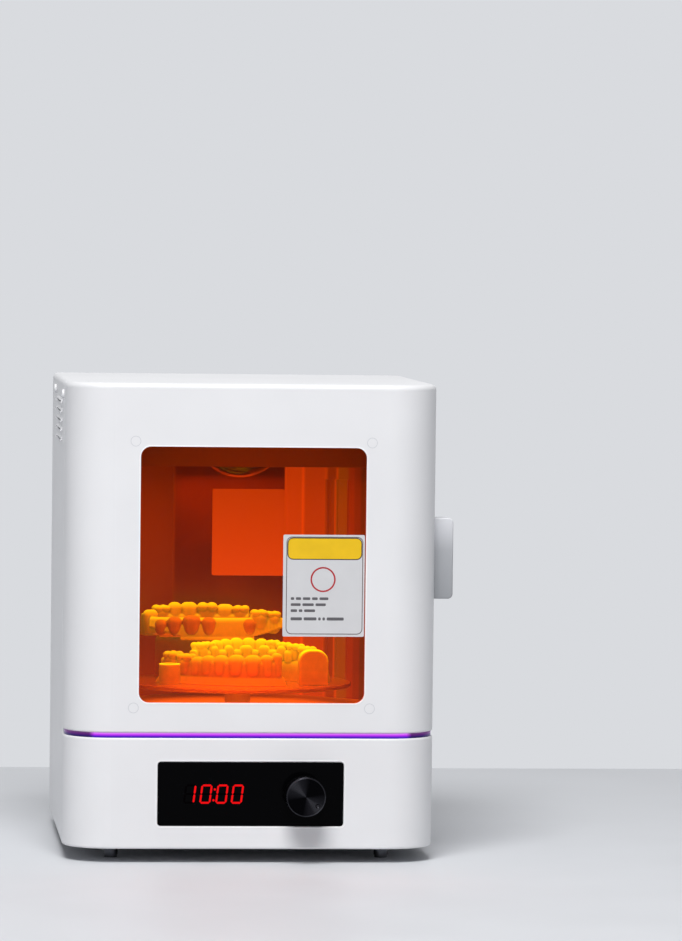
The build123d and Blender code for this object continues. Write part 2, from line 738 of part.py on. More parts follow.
with BuildPart() as front_board:
    with BuildSketch(facing(board_y + board_t)):
        with Locations((0, panel_z)):
            Rectangle(panel_w, panel_h)
            with GridLocations(panel_w - 2 * board_hole_in, panel_h - 2 * board_hole_in, 2, 2):
                Circle(board_hole_r, mode=Mode.SUBTRACT)
    extrude(amount=board_t)

# ---- Encoder and knob --------------------------------------------------------------------------
knob_back = panel_face - knob_gap
knob_face = knob_back - knob_l
encoder_w = 13.0
bushing_out = 4.5  # how far the threaded bushing stands out of the panel
nut_r = 6.0  # over the corners
dimple_r = 1.5
dimple_x = 6.6  # dimple from the knob's middle
dimple_z = -5.0
dimple_rise = 0.6  # its centre in front of the knob's face
knob_chamfer = 0.8
rod_l = 2.4
encoder_floor = 1.0  # rear wall of the encoder's body
rod_end = board_y - encoder_floor - knob_travel - run
shaft_back = rod_end - rod_l - run
bushing_end = panel_face - bushing_out
knob_bore = 9.0
knob_hollow_r = 8.2
knob_hollow = 5.5

with BuildPart() as encoder_body:
    with BuildSketch(facing(board_y)):
        with Locations((knob_x, panel_z)):
            Rectangle(encoder_w, encoder_w)
    extrude(amount=board_y - inner_front - panel_t)
    with BuildSketch(facing(inner_front + panel_t)):
        with Locations((knob_x, panel_z)):
            Circle(bushing_r)
    extrude(amount=inner_front + panel_t - bushing_end)
    with BuildSketch(facing(board_y - encoder_floor)):
        with Locations((knob_x, panel_z)):
            Circle(shaft_r + run)
    extrude(amount=board_y - bushing_end, mode=Mode.SUBTRACT)

with BuildPart() as encoder_nut:
    with BuildSketch(facing(panel_face)):
        with Locations((knob_x, panel_z)):
            RegularPolygon(nut_r, 6)
            Circle(bushing_r + run, mode=Mode.SUBTRACT)
    extrude(amount=nut_t)

with BuildPart() as encoder_push_rod:
    with BuildSketch(facing(rod_end)):
        with Locations((knob_x, panel_z)):
            Circle(shaft_r - run)
    extrude(amount=rod_l)

with BuildPart() as encoder_shaft:
    with BuildSketch(facing(shaft_back)):
        with Locations((knob_x, panel_z)):
            Circle(shaft_r)
    extrude(amount=shaft_back - knob_back + knob_bore)

with BuildPart() as knob:
    with BuildSketch(facing(knob_back)):
        with Locations((knob_x, panel_z)):
            Circle(knob_d / 2)
    extrude(amount=knob_l)
    chamfer(knob.faces().sort_by(Axis.Y)[0].edges(), knob_chamfer)
    with BuildSketch(facing(knob_back)):
        with Locations((knob_x, panel_z)):
            Circle(knob_hollow_r)
    extrude(amount=knob_hollow, mode=Mode.SUBTRACT)
    with BuildSketch(facing(knob_back)):
        with Locations((knob_x, panel_z)):
            Circle(shaft_r + run)
    extrude(amount=knob_bore + run, mode=Mode.SUBTRACT)
    # finger dimple near the rim of the face
    with Locations((knob_x + dimple_x, knob_face - dimple_rise, panel_z + dimple_z)):
        Sphere(dimple_r, mode=Mode.SUBTRACT)

# ---- Turntable and its motor -------------------------------------------------------------------
plate_clear = 1.5  # turntable plate to the bezel
plate_r = axis_y - bezel_rear - plate_clear
plate_t = 2.5
plate_rise = 14.0  # chamber floor to the top of the plate
plate_z = floor_z + plate_rise
plate_round = 0.6
hub_gap = 0.6  # hub above the chamber floor
motor_ear_w = 10.0
motor_ear_t = 1.5
motor_screw_r = 1.6
spindle_clear = 0.5
hub_r = 7.5
spindle_r = 3.0
spindle_stub_r = 4.0
motor_r = 25.0
motor_h = 16.0
motor_ear = 30.0
motor_base_t = 3.0
spindle_end = floor_z - floor_t - motor_h + motor_base_t

with BuildPart() as turntable_plate:
    with BuildSketch(Plane.XY.offset(plate_z - plate_t)):
        with Locations((0, axis_y)):
            Circle(plate_r)
            Circle(spindle_stub_r + run, mode=Mode.SUBTRACT)
    extrude(amount=plate_t)
    fillet(turntable_plate.edges().filter_by(GeomType.CIRCLE).group_by(SortBy.RADIUS)[-1], plate_round)

with BuildPart() as turntable_spindle:
    with Locations((0, axis_y, floor_z + hub_gap)):
        Cylinder(hub_r, plate_z - plate_t - floor_z - hub_gap, align=STAND)
    with Locations((0, axis_y, plate_z - plate_t)):
        Cylinder(spindle_stub_r, plate_t, align=STAND)
    with Locations((0, axis_y, spindle_end)):
        Cylinder(spindle_r, floor_z + hub_gap - spindle_end, align=STAND)

with BuildPart() as turntable_motor:
    with Locations((0, axis_y, floor_z - floor_t)):
        Cylinder(motor_r, motor_h, align=HANG)
        Box(2 * motor_ear + motor_ear_w, motor_ear_w, motor_ear_t, align=HANG)
    with Locations((0, axis_y, floor_z - floor_t)):
        Cylinder(spindle_r + run, 2 * (floor_z - floor_t - spindle_end + spindle_clear), mode=Mode.SUBTRACT)
    with Locations((-motor_ear, axis_y, floor_z - floor_t), (motor_ear, axis_y, floor_z - floor_t)):
        Cylinder(motor_screw_r, 3 * motor_ear_t, mode=Mode.SUBTRACT)

# ---- Fans --------------------------------------------------------------------------------------
fan_hub_r = 8.5
blade_count = 7
fan_base_t = 1.5
fan_pin_r = 1.5
fan_gap = 0.8  # rotor to the rear panel and to the frame's cup
fan_edge = 2.0
spoke_w = 2.0
blade_t = 2.0
blade_lean = 28.0  # degrees
blade_gap = 0.7  # blade tip to the frame's bore


def fan_frame(place):
    """Square frame of an axial fan against the rear panel, with its motor cup on four spokes."""
    with BuildPart() as frame:
        with BuildSketch(facing(panel_back)):
            with Locations(place):
                RectangleRounded(fan_size, fan_size, fan_edge)
                Circle(fan_bore_r, mode=Mode.SUBTRACT)
        extrude(amount=fan_t)
        with BuildSketch(facing(panel_back - fan_t + fan_base_t)):
            with Locations(place):
                Circle(fan_hub_r)
                Rectangle(fan_size - fan_edge, spoke_w, rotation=45)
                Rectangle(fan_size - fan_edge, spoke_w, rotation=-45)
        extrude(amount=fan_base_t)
        with BuildSketch(facing(panel_back - fan_gap)):
            with Locations(place):
                Circle(fan_pin_r)
        extrude(amount=fan_t - fan_gap)
    return frame


def fan_rotor(place):
    """Hub with curved blades, turning on the pin of the frame."""
    with BuildPart() as rotor:
        with BuildSketch(facing(panel_back - fan_gap)):
            with Locations(place):
                Circle(fan_hub_r)
                with PolarLocations((fan_hub_r + fan_bore_r) / 2 - blade_gap, blade_count):
                    Rectangle(fan_bore_r - fan_hub_r, blade_t, rotation=blade_lean)
        extrude(amount=fan_t - fan_base_t - 2 * fan_gap)
        with BuildSketch(facing(panel_back - fan_gap)):
            with Locations(place):
                Circle(fan_pin_r + run)
        extrude(amount=fan_t, mode=Mode.SUBTRACT)
    return rotor


fan_frame_upper = fan_frame(upper_fan)
fan_frame_lower = fan_frame(lower_fan)
fan_rotor_upper = fan_rotor(upper_fan)
fan_rotor_lower = fan_rotor(lower_fan)

# ---- Power: inlet, switch, supply, control board -----------------------------------------------
inlet_flange = 4.0
inlet_corner = 2.0  # corners of the inlet's flange, and how much taller it is than the socket
inlet_t = 2.5
inlet_deep = 20.0
socket_w = 24.0
socket_h = 15.5
socket_deep = 15.0
socket_r = 3.0
prong_x = 7.0
prong_z = 2.0
prong_w = 2.0
prong_h = 4.0
prong_l = 9.0
rocker_w = 10.5
rocker_h = 16.5
rocker_axis_out = 1.2  # rocker's axis behind the panel's rear face
rocker_axis_y = inner_rear + rocker_axis_out
rocker_root = 6.0  # depth of the rocker in front of its axis
rocker_low = 1.2  # how far the pressed end stands behind the axis
rocker_high = 3.2  # how far the raised end stands behind the axis
rocker_end_gap = 0.8
trunnion_r = 1.0
trunnion_l = 0.6  # how far a trunnion goes into the switch housing
switch_flange = 1.8
switch_rim = 1.0
switch_deep = 14.0
switch_floor = 2.0
supply_w = 92.0
supply_d = 52.0
supply_h = 30.0
boards_gap = 4.0  # between the control board and the supply
supply_y = 28.0
supply_foot_in = 6.0
supply_foot_r = 3.0
control_w = 80.0
control_d = 62.0
control_y = 36.0
supply_at = ((control_w + boards_gap) / 2, supply_y)
control_at = (-(supply_w + boards_gap) / 2, control_y)
chip_size = 12.0
chip_h = 1.4
capacitor_r = 4.2
capacitor_h = 11.0
capacitor_pitch = 12.0
plug_w = 9.0
plug_deep = 5.5
plug_h = 7.0
plug_pitch = 12.0
plug_count = 4
spacer_h = 8.0

with BuildPart() as power_inlet:
    with BuildSketch(facing(inner_rear + inlet_t)):
        with Locations((inlet_x, inlet_z)):
            RectangleRounded(inlet_w + 2 * inlet_flange, inlet_h + inlet_corner, inlet_corner)
    extrude(amount=inlet_t)
    with BuildSketch(facing(inner_rear)):
        with Locations((inlet_x, inlet_z)):
            Rectangle(inlet_w - 2 * fit, inlet_h - 2 * fit)
    extrude(amount=inlet_deep)
    with BuildSketch(facing(inner_rear + inlet_t)):
        with Locations((inlet_x, inlet_z)):
            RectangleRounded(socket_w, socket_h, socket_r)
    extrude(amount=socket_deep, mode=Mode.SUBTRACT)
    with BuildSketch(facing(inner_rear + inlet_t - socket_deep)):
        with Locations((inlet_x - prong_x, inlet_z - prong_z), (inlet_x + prong_x, inlet_z - prong_z)):
            Rectangle(prong_w, prong_h)
        with Locations((inlet_x, inlet_z + prong_z)):
            Rectangle(prong_w, prong_h)
    extrude(amount=-prong_l)

with BuildPart() as switch_housing:
    with BuildSketch(facing(inner_rear + switch_flange)):
        with Locations((switch_x, inlet_z)):
            RectangleRounded(switch_w + 2 * switch_rim, switch_h + 2 * switch_rim, switch_rim)
    extrude(amount=switch_flange)
    with BuildSketch(facing(inner_rear)):
        with Locations((switch_x, inlet_z)):
            Rectangle(switch_w - 2 * fit, switch_h - 2 * fit)
    extrude(amount=switch_deep)
    with BuildSketch(facing(inner_rear + switch_flange)):
        with Locations((switch_x, inlet_z)):
            Rectangle(rocker_w, rocker_h)
    extrude(amount=switch_deep - switch_floor, mode=Mode.SUBTRACT)
    with Locations((switch_x, rocker_axis_y, inlet_z)):
        Cylinder(
            trunnion_r + run, rocker_w + 2 * trunnion_l + 2 * fit, rotation=(0, 90, 0), mode=Mode.SUBTRACT
        )

with BuildPart() as power_rocker:
    with BuildSketch(Plane.YZ.offset(switch_x - rocker_w / 2 + fit)):
        with BuildLine():
            Polyline(
                (rocker_axis_y - rocker_root, inlet_z - rocker_root / 2),
                (rocker_axis_y - rocker_root, inlet_z + rocker_root / 2),
                (rocker_axis_y - 1, inlet_z + rocker_h / 2 - rocker_end_gap),
                (rocker_axis_y + rocker_low, inlet_z + rocker_h / 2 - rocker_end_gap),
                (rocker_axis_y + rocker_low - fit, inlet_z),
                (rocker_axis_y + rocker_high, inlet_z - rocker_h / 2 + 2 * rocker_end_gap),
                (rocker_axis_y - 1, inlet_z - rocker_h / 2 + 2 * rocker_end_gap),
                close=True,
            )
        make_face()
    extrude(amount=rocker_w - 2 * fit)
    with Locations((switch_x, rocker_axis_y, inlet_z)):
        Cylinder(trunnion_r, rocker_w + 2 * trunnion_l, rotation=(0, 90, 0))

with BuildPart() as power_supply:
    with BuildSketch(Plane.XY.offset(base_top + spacer_h / 2)):
        with Locations(supply_at):
            RectangleRounded(supply_w, supply_d, supply_foot_r)
    extrude(amount=supply_h)
    with BuildSketch(Plane.XY.offset(base_top)):
        with Locations(supply_at):
            with GridLocations(supply_w - 2 * supply_foot_in, supply_d - 2 * supply_foot_in, 2, 2):
                Circle(supply_foot_r)
    extrude(amount=spacer_h / 2)

with BuildPart() as control_board:
    with BuildSketch(Plane.XY.offset(base_top + spacer_h)):
        with Locations(control_at):
            Rectangle(control_w, control_d)
            with GridLocations(control_w - 2 * board_hole_in, control_d - 2 * board_hole_in, 2, 2):
                Circle(board_hole_r, mode=Mode.SUBTRACT)
    extrude(amount=board_t)
    # main chip, capacitors and plug rows
    with BuildSketch(Plane.XY.offset(base_top + spacer_h + board_t)):
        with Locations(control_at):
            Rectangle(chip_size, chip_size)
    extrude(amount=chip_h)
    with BuildSketch(Plane.XY.offset(base_top + spacer_h + board_t)):
        with Locations((control_at[0] + control_w / 3, control_at[1] + capacitor_pitch)):
            with GridLocations(capacitor_pitch, capacitor_pitch, 2, 2):
                Circle(capacitor_r)
    extrude(amount=capacitor_h)
    with BuildSketch(Plane.XY.offset(base_top + spacer_h + board_t)):
        with Locations((control_at[0] - plug_pitch, control_at[1] - control_d / 2 + plug_deep)):
            with GridLocations(plug_pitch, 1, plug_count, 1):
                Rectangle(plug_w, plug_deep)
    extrude(amount=plug_h)

with BuildPart() as board_spacers:
    # four under the control board, four between the front board and the display panel
    with BuildSketch(facing(board_y)):
        with Locations((0, panel_z)):
            with GridLocations(panel_w - 2 * board_hole_in, panel_h - 2 * board_hole_in, 2, 2):
                Circle(spacer_r)
                Circle(board_hole_r, mode=Mode.SUBTRACT)
    extrude(amount=board_gap)
    with BuildSketch(Plane.XY.offset(base_top)):
        with Locations(control_at):
            with GridLocations(control_w - 2 * board_hole_in, control_d - 2 * board_hole_in, 2, 2):
                Circle(spacer_r)
                Circle(board_hole_r, mode=Mode.SUBTRACT)
    extrude(amount=spacer_h)

# ---- Door --------------------------------------------------------------------------------------
flange_t = 2.0
flange_in = 0.8  # rear face of the liner's flange inside the door's rear edge
flange_y = door_rear - flange_in
sleeve_in = 4.0  # liner's sleeve inside the reflector's sides
sleeve_w = chamber_w - 2 * sleeve_in
sleeve_drop = 30.0  # top of the case to the sleeve's upper wall
sleeve_top = top_z - sleeve_drop
sleeve_sill = 10.0  # flange's lower edge to the sleeve's opening
sleeve_t = 2.0
liner_fit = 0.3
liner_bottom = door_z + wall + liner_fit
liner_top = inner_top - liner_fit
sleeve_bottom = liner_bottom + sleeve_sill
seal_in = 0.5  # seal's opening beyond the window
pane_w = window_w + 2 * window_lap
pane_h = window_h + 2 * window_lap
pane_back = inner_front + seal_t + pane_t
retainer_t = 2.0
retainer_border = 7.1
retainer_lip = 3.0
retainer_in = window_lap - retainer_lip  # retainer's opening beyond the window
boss_r = 4.0
boss_bore_r = 1.4
boss_x = post_x
boss_l = 12.0
liner_screw_l = 8.0
door_screw_head_r = 2.8
door_screw_head_l = 1.6
boss_web_t = 2.5
liner_screw_low = 26.0  # lower screws above the door's lower edge
liner_screw_high = 18.0  # upper screws below the top
liner_screw_zs = (door_z + liner_screw_low, top_z - liner_screw_high)
liner_screw_places = [(x, z) for x in (-boss_x, boss_x) for z in liner_screw_zs]
lug_w = 9.0
lug_d = 2 * (hinge_in - fit)
lug_h = 6.0
notch_clear = 3.4  # notch for the tongue in front of the hinge axis
notch_y = hinge_y - notch_clear
plug_d = 5.6
plug_t = 1.0
plug_stem_r = 1.4
plug_stem = 1.3
plug_out = 3.0  # plug centre beyond the window's corner, along X and along Z
plug_places = [
    (sx * (window_w / 2 + plug_out), window_z + sz * (window_h / 2 + plug_out))
    for sx in (-1, 1)
    for sz in (-1, 1)
]
handle_in = 2.0  # handle in front of the door's rear edge
handle_y = door_rear - handle_in - handle_deep / 2
handle_edge = 0.8
handle_screw_r = 1.5
handle_wall = 2.6
handle_r = 2.8
handle_screw_pitch = 30.0
handle_screw_zs = (handle_z - handle_screw_pitch / 2, handle_z + handle_screw_pitch / 2)
strike_r = 5.0
strike_t = 1.2
gasket_w = 3.5
gasket_gap = 0.3
gasket_out = 3.0  # gasket outside the liner's sleeve
gasket_r = 3.0
sensor_magnet_w = 5.0
sensor_magnet_h = 12.0
sensor_z = (magnet_zs[0] + magnet_zs[1]) / 2
label_w = 46.0
label_h = 57.4
label_t = 0.2
label_r = 0.8
label_edge = 0.6  # label to the right edge of the window
label_drop = 5.7  # label's middle below the window's middle
label_z = window_z - label_drop
washer_r = 3.2
washer_gap = 0.3

with BuildPart() as door_shell:
    with BuildSketch(Plane.XY.offset(door_z)) as plan:
        outline(plan, 0)
    extrude(amount=top_z - door_z)
    fillet(door_shell.faces().sort_by(Axis.Z)[-1].edges(), top_r)
    keep_front(door_rear)
    lower_edges = door_shell.faces().sort_by(Axis.Z)[0].edges()
    fillet(lower_edges.filter_by(lambda e: (e @ 0.5).Y < door_rear - 0.1), rim_r)
    # the hinge side's rear edge is round about the hinge axis
    with BuildSketch(Plane.XY.offset(foot_h)):
        with Locations((-side_x, door_rear)):
            Rectangle(2 * hinge_in, 2 * hinge_in)
        with Locations((hinge_x, hinge_y)):
            Circle(hinge_in, mode=Mode.SUBTRACT)
            Rectangle(4 * hinge_in, 2 * hinge_in, align=(Align.CENTER, Align.MAX), mode=Mode.SUBTRACT)
    extrude(amount=2 * body_h, mode=Mode.SUBTRACT)
    # hollow, open to the rear
    with BuildSketch(Plane.XY.offset(door_z + wall)) as plan:
        outline(plan, wall)
    extrude(amount=inner_top - door_z - wall, mode=Mode.SUBTRACT)
    with BuildSketch(facing(inner_front + wall)):
        with Locations((0, window_z)):
            RectangleRounded(window_w, window_h, window_r)
    extrude(amount=3 * wall, mode=Mode.SUBTRACT)
    fillet(door_shell.faces().sort_by(Axis.Y)[0].inner_wires()[0].edges(), window_rim)
    # hinge lugs above and below the tongue
    with BuildSketch(Plane.XY.offset(tongue_z - tongue_t / 2 - tongue_gap - lug_h)):
        with Locations((-inner_x + lug_w / 2, hinge_y)):
            Rectangle(lug_w, lug_d)
    extrude(amount=2 * lug_h + tongue_t + 2 * tongue_gap)
    with BuildSketch(Plane.XY.offset(tongue_z - tongue_t / 2 - tongue_gap)):
        with Locations((hinge_x, notch_y)):
            Rectangle(2 * lug_w, 2 * lug_d, align=(Align.CENTER, Align.MIN))
    extrude(amount=tongue_t + 2 * tongue_gap, mode=Mode.SUBTRACT)
    with Locations((hinge_x, hinge_y, tongue_z)):
        Cylinder(pin_r + run, 4 * lug_h, mode=Mode.SUBTRACT)
    # lower lug, through which the lower pin goes
    with Locations((-inner_x + lug_w / 2, hinge_y, door_z + wall)):
        Box(lug_w, lug_d, lug_h, align=STAND)
    with Locations((hinge_x, hinge_y, door_z)):
        Cylinder(pin_r + run, 4 * lug_h, mode=Mode.SUBTRACT)
    # bosses that carry the liner, each on a web from the side wall
    with BuildSketch(facing(flange_y - flange_t)):
        with Locations(*liner_screw_places):
            Circle(boss_r)
        for side in (-1, 1):
            with Locations(*[(side * (boss_x + inner_x) / 2, z) for z in liner_screw_zs]):
                Rectangle(inner_x - boss_x + wall, boss_web_t)
        with Locations(*liner_screw_places):
            Circle(boss_bore_r, mode=Mode.SUBTRACT)
    extrude(amount=boss_l)
    # seats of the window plugs
    with BuildSketch(facing(front_y + plug_t)):
        with Locations(*plug_places):
            Circle(plug_d / 2)
    extrude(amount=2 * plug_t, mode=Mode.SUBTRACT)
    with BuildSketch(facing(inner_front + wall)):
        with Locations(*plug_places):
            Circle(plug_stem_r)
    extrude(amount=3 * wall, mode=Mode.SUBTRACT)
    # holes of the handle screws
    with Locations(*[(side_x, handle_y, z) for z in handle_screw_zs]):
        Cylinder(handle_screw_r + run, 4 * wall, rotation=(0, 90, 0), mode=Mode.SUBTRACT)

with BuildPart() as window_seal:
    with BuildSketch(facing(inner_front + seal_t)):
        with Locations((0, window_z)):
            RectangleRounded(pane_w, pane_h, window_r)
            RectangleRounded(window_w + 2 * seal_in, window_h + 2 * seal_in, window_r, mode=Mode.SUBTRACT)
    extrude(amount=seal_t)

with BuildPart() as window_pane:
    with BuildSketch(facing(pane_back)):
        with Locations((0, window_z)):
            RectangleRounded(pane_w, pane_h, window_r)
    extrude(amount=pane_t)
    with BuildSketch(facing(inner_front + seal_t)):
        with Locations((0, window_z)):
            RectangleRounded(window_w - 2 * fit, window_h - 2 * fit, window_r - fit)
    extrude(amount=wall + seal_t - pane_recess)

with BuildPart() as window_retainer:
    frame_w = pane_w + 2 * retainer_border
    frame_h = pane_h + 2 * retainer_border
    with BuildSketch(facing(pane_back + retainer_t)):
        with Locations((0, window_z)):
            RectangleRounded(frame_w, frame_h, window_r)
    extrude(amount=pane_back + retainer_t - inner_front)
    with BuildSketch(facing(pane_back)):
        with Locations((0, window_z)):
            RectangleRounded(pane_w + 2 * fit, pane_h + 2 * fit, window_r + fit)
    extrude(amount=2 * (pane_back - inner_front), mode=Mode.SUBTRACT)
    with BuildSketch(facing(pane_back + 2 * retainer_t)):
        with Locations((0, window_z)):
            RectangleRounded(window_w + 2 * retainer_in, window_h + 2 * retainer_in, window_r)
    extrude(amount=4 * retainer_t, mode=Mode.SUBTRACT)

with BuildPart() as window_plugs:
    with BuildSketch(facing(front_y + plug_t)):
        with Locations(*plug_places):
            Circle(plug_d / 2 - run)
    extrude(amount=plug_t)
    with BuildSketch(facing(front_y + plug_t + plug_stem)):
        with Locations(*plug_places):
            Circle(plug_stem_r - run)
    extrude(amount=plug_stem)

with BuildPart() as blank_label:
    with BuildSketch(facing(front_y + pane_recess)):
        with Locations((window_w / 2 - label_edge - label_w / 2, label_z)):
            RectangleRounded(label_w, label_h, label_r)
    extrude(amount=label_t)

with BuildPart() as door_liner:
    with BuildSketch(facing(flange_y)):
        with Locations((0, (liner_bottom + liner_top) / 2)):
            Rectangle(2 * (inner_x - liner_fit), liner_top - liner_bottom)
        with Locations((0, (sleeve_bottom + sleeve_top) / 2)):
            Rectangle(sleeve_w, sleeve_top - sleeve_bottom, mode=Mode.SUBTRACT)
        # cut-outs for the hinge lugs
        with Locations((-inner_x, tongue_z)):
            Rectangle(2 * (lug_w + 1), 2 * (lug_h + tongue_t + 1), mode=Mode.SUBTRACT)
        with Locations((-inner_x, liner_bottom)):
            Rectangle(2 * (lug_w + 1), 2 * (lug_h + 1), mode=Mode.SUBTRACT)
        with Locations(*liner_screw_places):
            Circle(post_screw_r + run, mode=Mode.SUBTRACT)
    extrude(amount=flange_t)
    with BuildSketch(facing(flange_y - flange_t)):
        with Locations((0, (sleeve_bottom + sleeve_top) / 2)):
            Rectangle(sleeve_w + 2 * sleeve_t, sleeve_top - sleeve_bottom + 2 * sleeve_t)
            Rectangle(sleeve_w, sleeve_top - sleeve_bottom, mode=Mode.SUBTRACT)
    extrude(amount=flange_y - flange_t - pane_back - retainer_t)

with BuildPart() as door_gasket:
    gasket_in_w = sleeve_w + 2 * (sleeve_t + gasket_out)
    gasket_h = sleeve_top - sleeve_bottom + 2 * (sleeve_t + gasket_out)
    with BuildSketch(facing(split_y - gasket_gap)):
        with Locations((0, (sleeve_bottom + sleeve_top) / 2)):
            RectangleRounded(gasket_in_w + 2 * gasket_w, gasket_h + 2 * gasket_w, gasket_r + gasket_w)
            RectangleRounded(gasket_in_w, gasket_h, gasket_r, mode=Mode.SUBTRACT)
    extrude(amount=split_y - gasket_gap - flange_y)

with BuildPart() as strike_plates:
    # two round strikes for the magnets and the sensor's bar magnet between them
    with BuildSketch(facing(flange_y + strike_t)):
        with Locations(*[(magnet_x, z) for z in magnet_zs]):
            Circle(strike_r)
        with Locations((magnet_x, sensor_z)):
            Rectangle(sensor_magnet_w, sensor_magnet_h)
    extrude(amount=strike_t)

with BuildPart() as door_handle:
    with BuildSketch(facing(handle_y + handle_deep / 2)):
        with Locations((side_x, handle_z)):
            Rectangle(handle_out, handle_h, align=(Align.MIN, Align.CENTER))
    extrude(amount=handle_deep)
    fillet(door_handle.edges().filter_by(Axis.Y).group_by(Axis.X)[-1], handle_r)
    front_edges = door_handle.faces().sort_by(Axis.Y)[0].edges()
    fillet(front_edges.filter_by(lambda e: (e @ 0.5).X > side_x + 1), handle_edge)
    # finger groove in the rear face
    with BuildSketch(facing(handle_y + handle_deep / 2)):
        with Locations((side_x + handle_wall, handle_z)):
            Rectangle(handle_out - 2 * handle_wall, handle_h - 2 * handle_wall, align=(Align.MIN, Align.CENTER))
    extrude(amount=handle_deep - 2 * handle_wall, mode=Mode.SUBTRACT)
    with Locations(*[(side_x, handle_y, z) for z in handle_screw_zs]):
        Cylinder(handle_screw_r + run, 2 * handle_wall + 1, rotation=(0, 90, 0), mode=Mode.SUBTRACT)

with BuildPart() as door_screws:
    # four hold the liner to its bosses, two hold the handle from inside the door
    add_screws(
        Plane(origin=(0, flange_y, 0), x_dir=(1, 0, 0), z_dir=(0, 1, 0)),
        [(x, -z) for x, z in liner_screw_places],
        boss_bore_r - run,
        liner_screw_l,
        door_screw_head_r,
        strike_t,
    )
    add_screws(
        Plane(origin=(inner_x, handle_y, handle_z), x_dir=(0, 1, 0), z_dir=(-1, 0, 0)),
        [(0, z - handle_z) for z in handle_screw_zs],
        handle_screw_r,
        wall + handle_wall,
        door_screw_head_r,
        door_screw_head_l,
    )

# ---- Hinge -------------------------------------------------------------------------------------
tongue_out = 2.5  # tongue in front of the hinge axis
pin_deep = 6.0  # lower pin under the deck
tongue_end = hinge_y - tongue_out
with BuildPart() as hinge_tongue:
    with BuildSketch(Plane.XY.offset(tongue_z - tongue_t / 2)):
        with BuildLine():
            Polyline(
                (-inner_x, tongue_end),
                (hinge_slot_x - fit, tongue_end),
                (hinge_slot_x - fit, bezel_rear + leaf_back),
                (-inner_x, bezel_rear + leaf_back),
                close=True,
            )
        make_face()
        with Locations((hinge_x, hinge_y)):
            Circle(pin_r + run, mode=Mode.SUBTRACT)
    extrude(amount=tongue_t)
    with Locations((-inner_x, bezel_rear + fit, tongue_z)):
        Box(leaf_t, leaf_back - fit, leaf_h, align=(Align.MIN, Align.MIN, Align.CENTER))

with BuildPart() as hinge_pins:
    with Locations((hinge_x, hinge_y, tongue_z)):
        Cylinder(pin_r, tongue_t + 2 * tongue_gap + 2 * lug_h)
    # the lower pin has a collar on the deck that carries the door
    with Locations((hinge_x, hinge_y, deck_z - wall - pin_deep)):
        Cylinder(pin_r, pin_deep + wall + light_gap + wall + lug_h, align=STAND)
    with Locations((hinge_x, hinge_y, deck_z)):
        Cylinder(washer_r, light_gap - washer_gap, align=STAND)

# ---- Screws and the door sensor ----------------------------------------------------------------
with BuildPart() as case_screws:
    # six through the rear frame into the rear panel, four into the posts on the chamber ceiling
    add_screws(
        Plane(origin=(0, rear_y, 0), x_dir=(1, 0, 0), z_dir=(0, 1, 0)),
        [(x, -z) for x, z in rear_screw_places],
        rear_screw_r,
        wall + rear_panel_t + rear_screw_tail,
        rear_screw_head_r,
        rear_screw_head_l,
    )
    add_screws(
        Plane.XY.offset(ceiling_top),
        post_places,
        post_screw_r,
        post_screw_l,
        post_screw_head_r,
        post_screw_head_l,
    )

rail_head_r = 2.65
rail_head_l = 1.4
rail_head_round = 0.9
rail_screw_l = 8.0  # shank behind the wall
with BuildPart() as rail_screws:
    for side in (-1, 1):
        add_screws(
            Plane(origin=(side * side_x, vent_y, rail_z), x_dir=(0, 1, 0), z_dir=(side, 0, 0)),
            [(-rail_out, 0), (rail_out, 0)],
            rail_screw_r,
            wall + rail_screw_l,
            rail_head_r,
            rail_head_l,
        )
    fillet(rail_screws.faces().group_by(Axis.X)[0].edges(), rail_head_round)
    fillet(rail_screws.faces().group_by(Axis.X)[-1].edges(), rail_head_round)

sensor_w = 6.0
sensor_t = 4.0
sensor_h = 18.0

with BuildPart() as door_sensor:
    with Locations((magnet_x, bezel_rear, sensor_z)):
        Box(sensor_w, sensor_t, sensor_h, align=(Align.CENTER, Align.MIN, Align.CENTER))

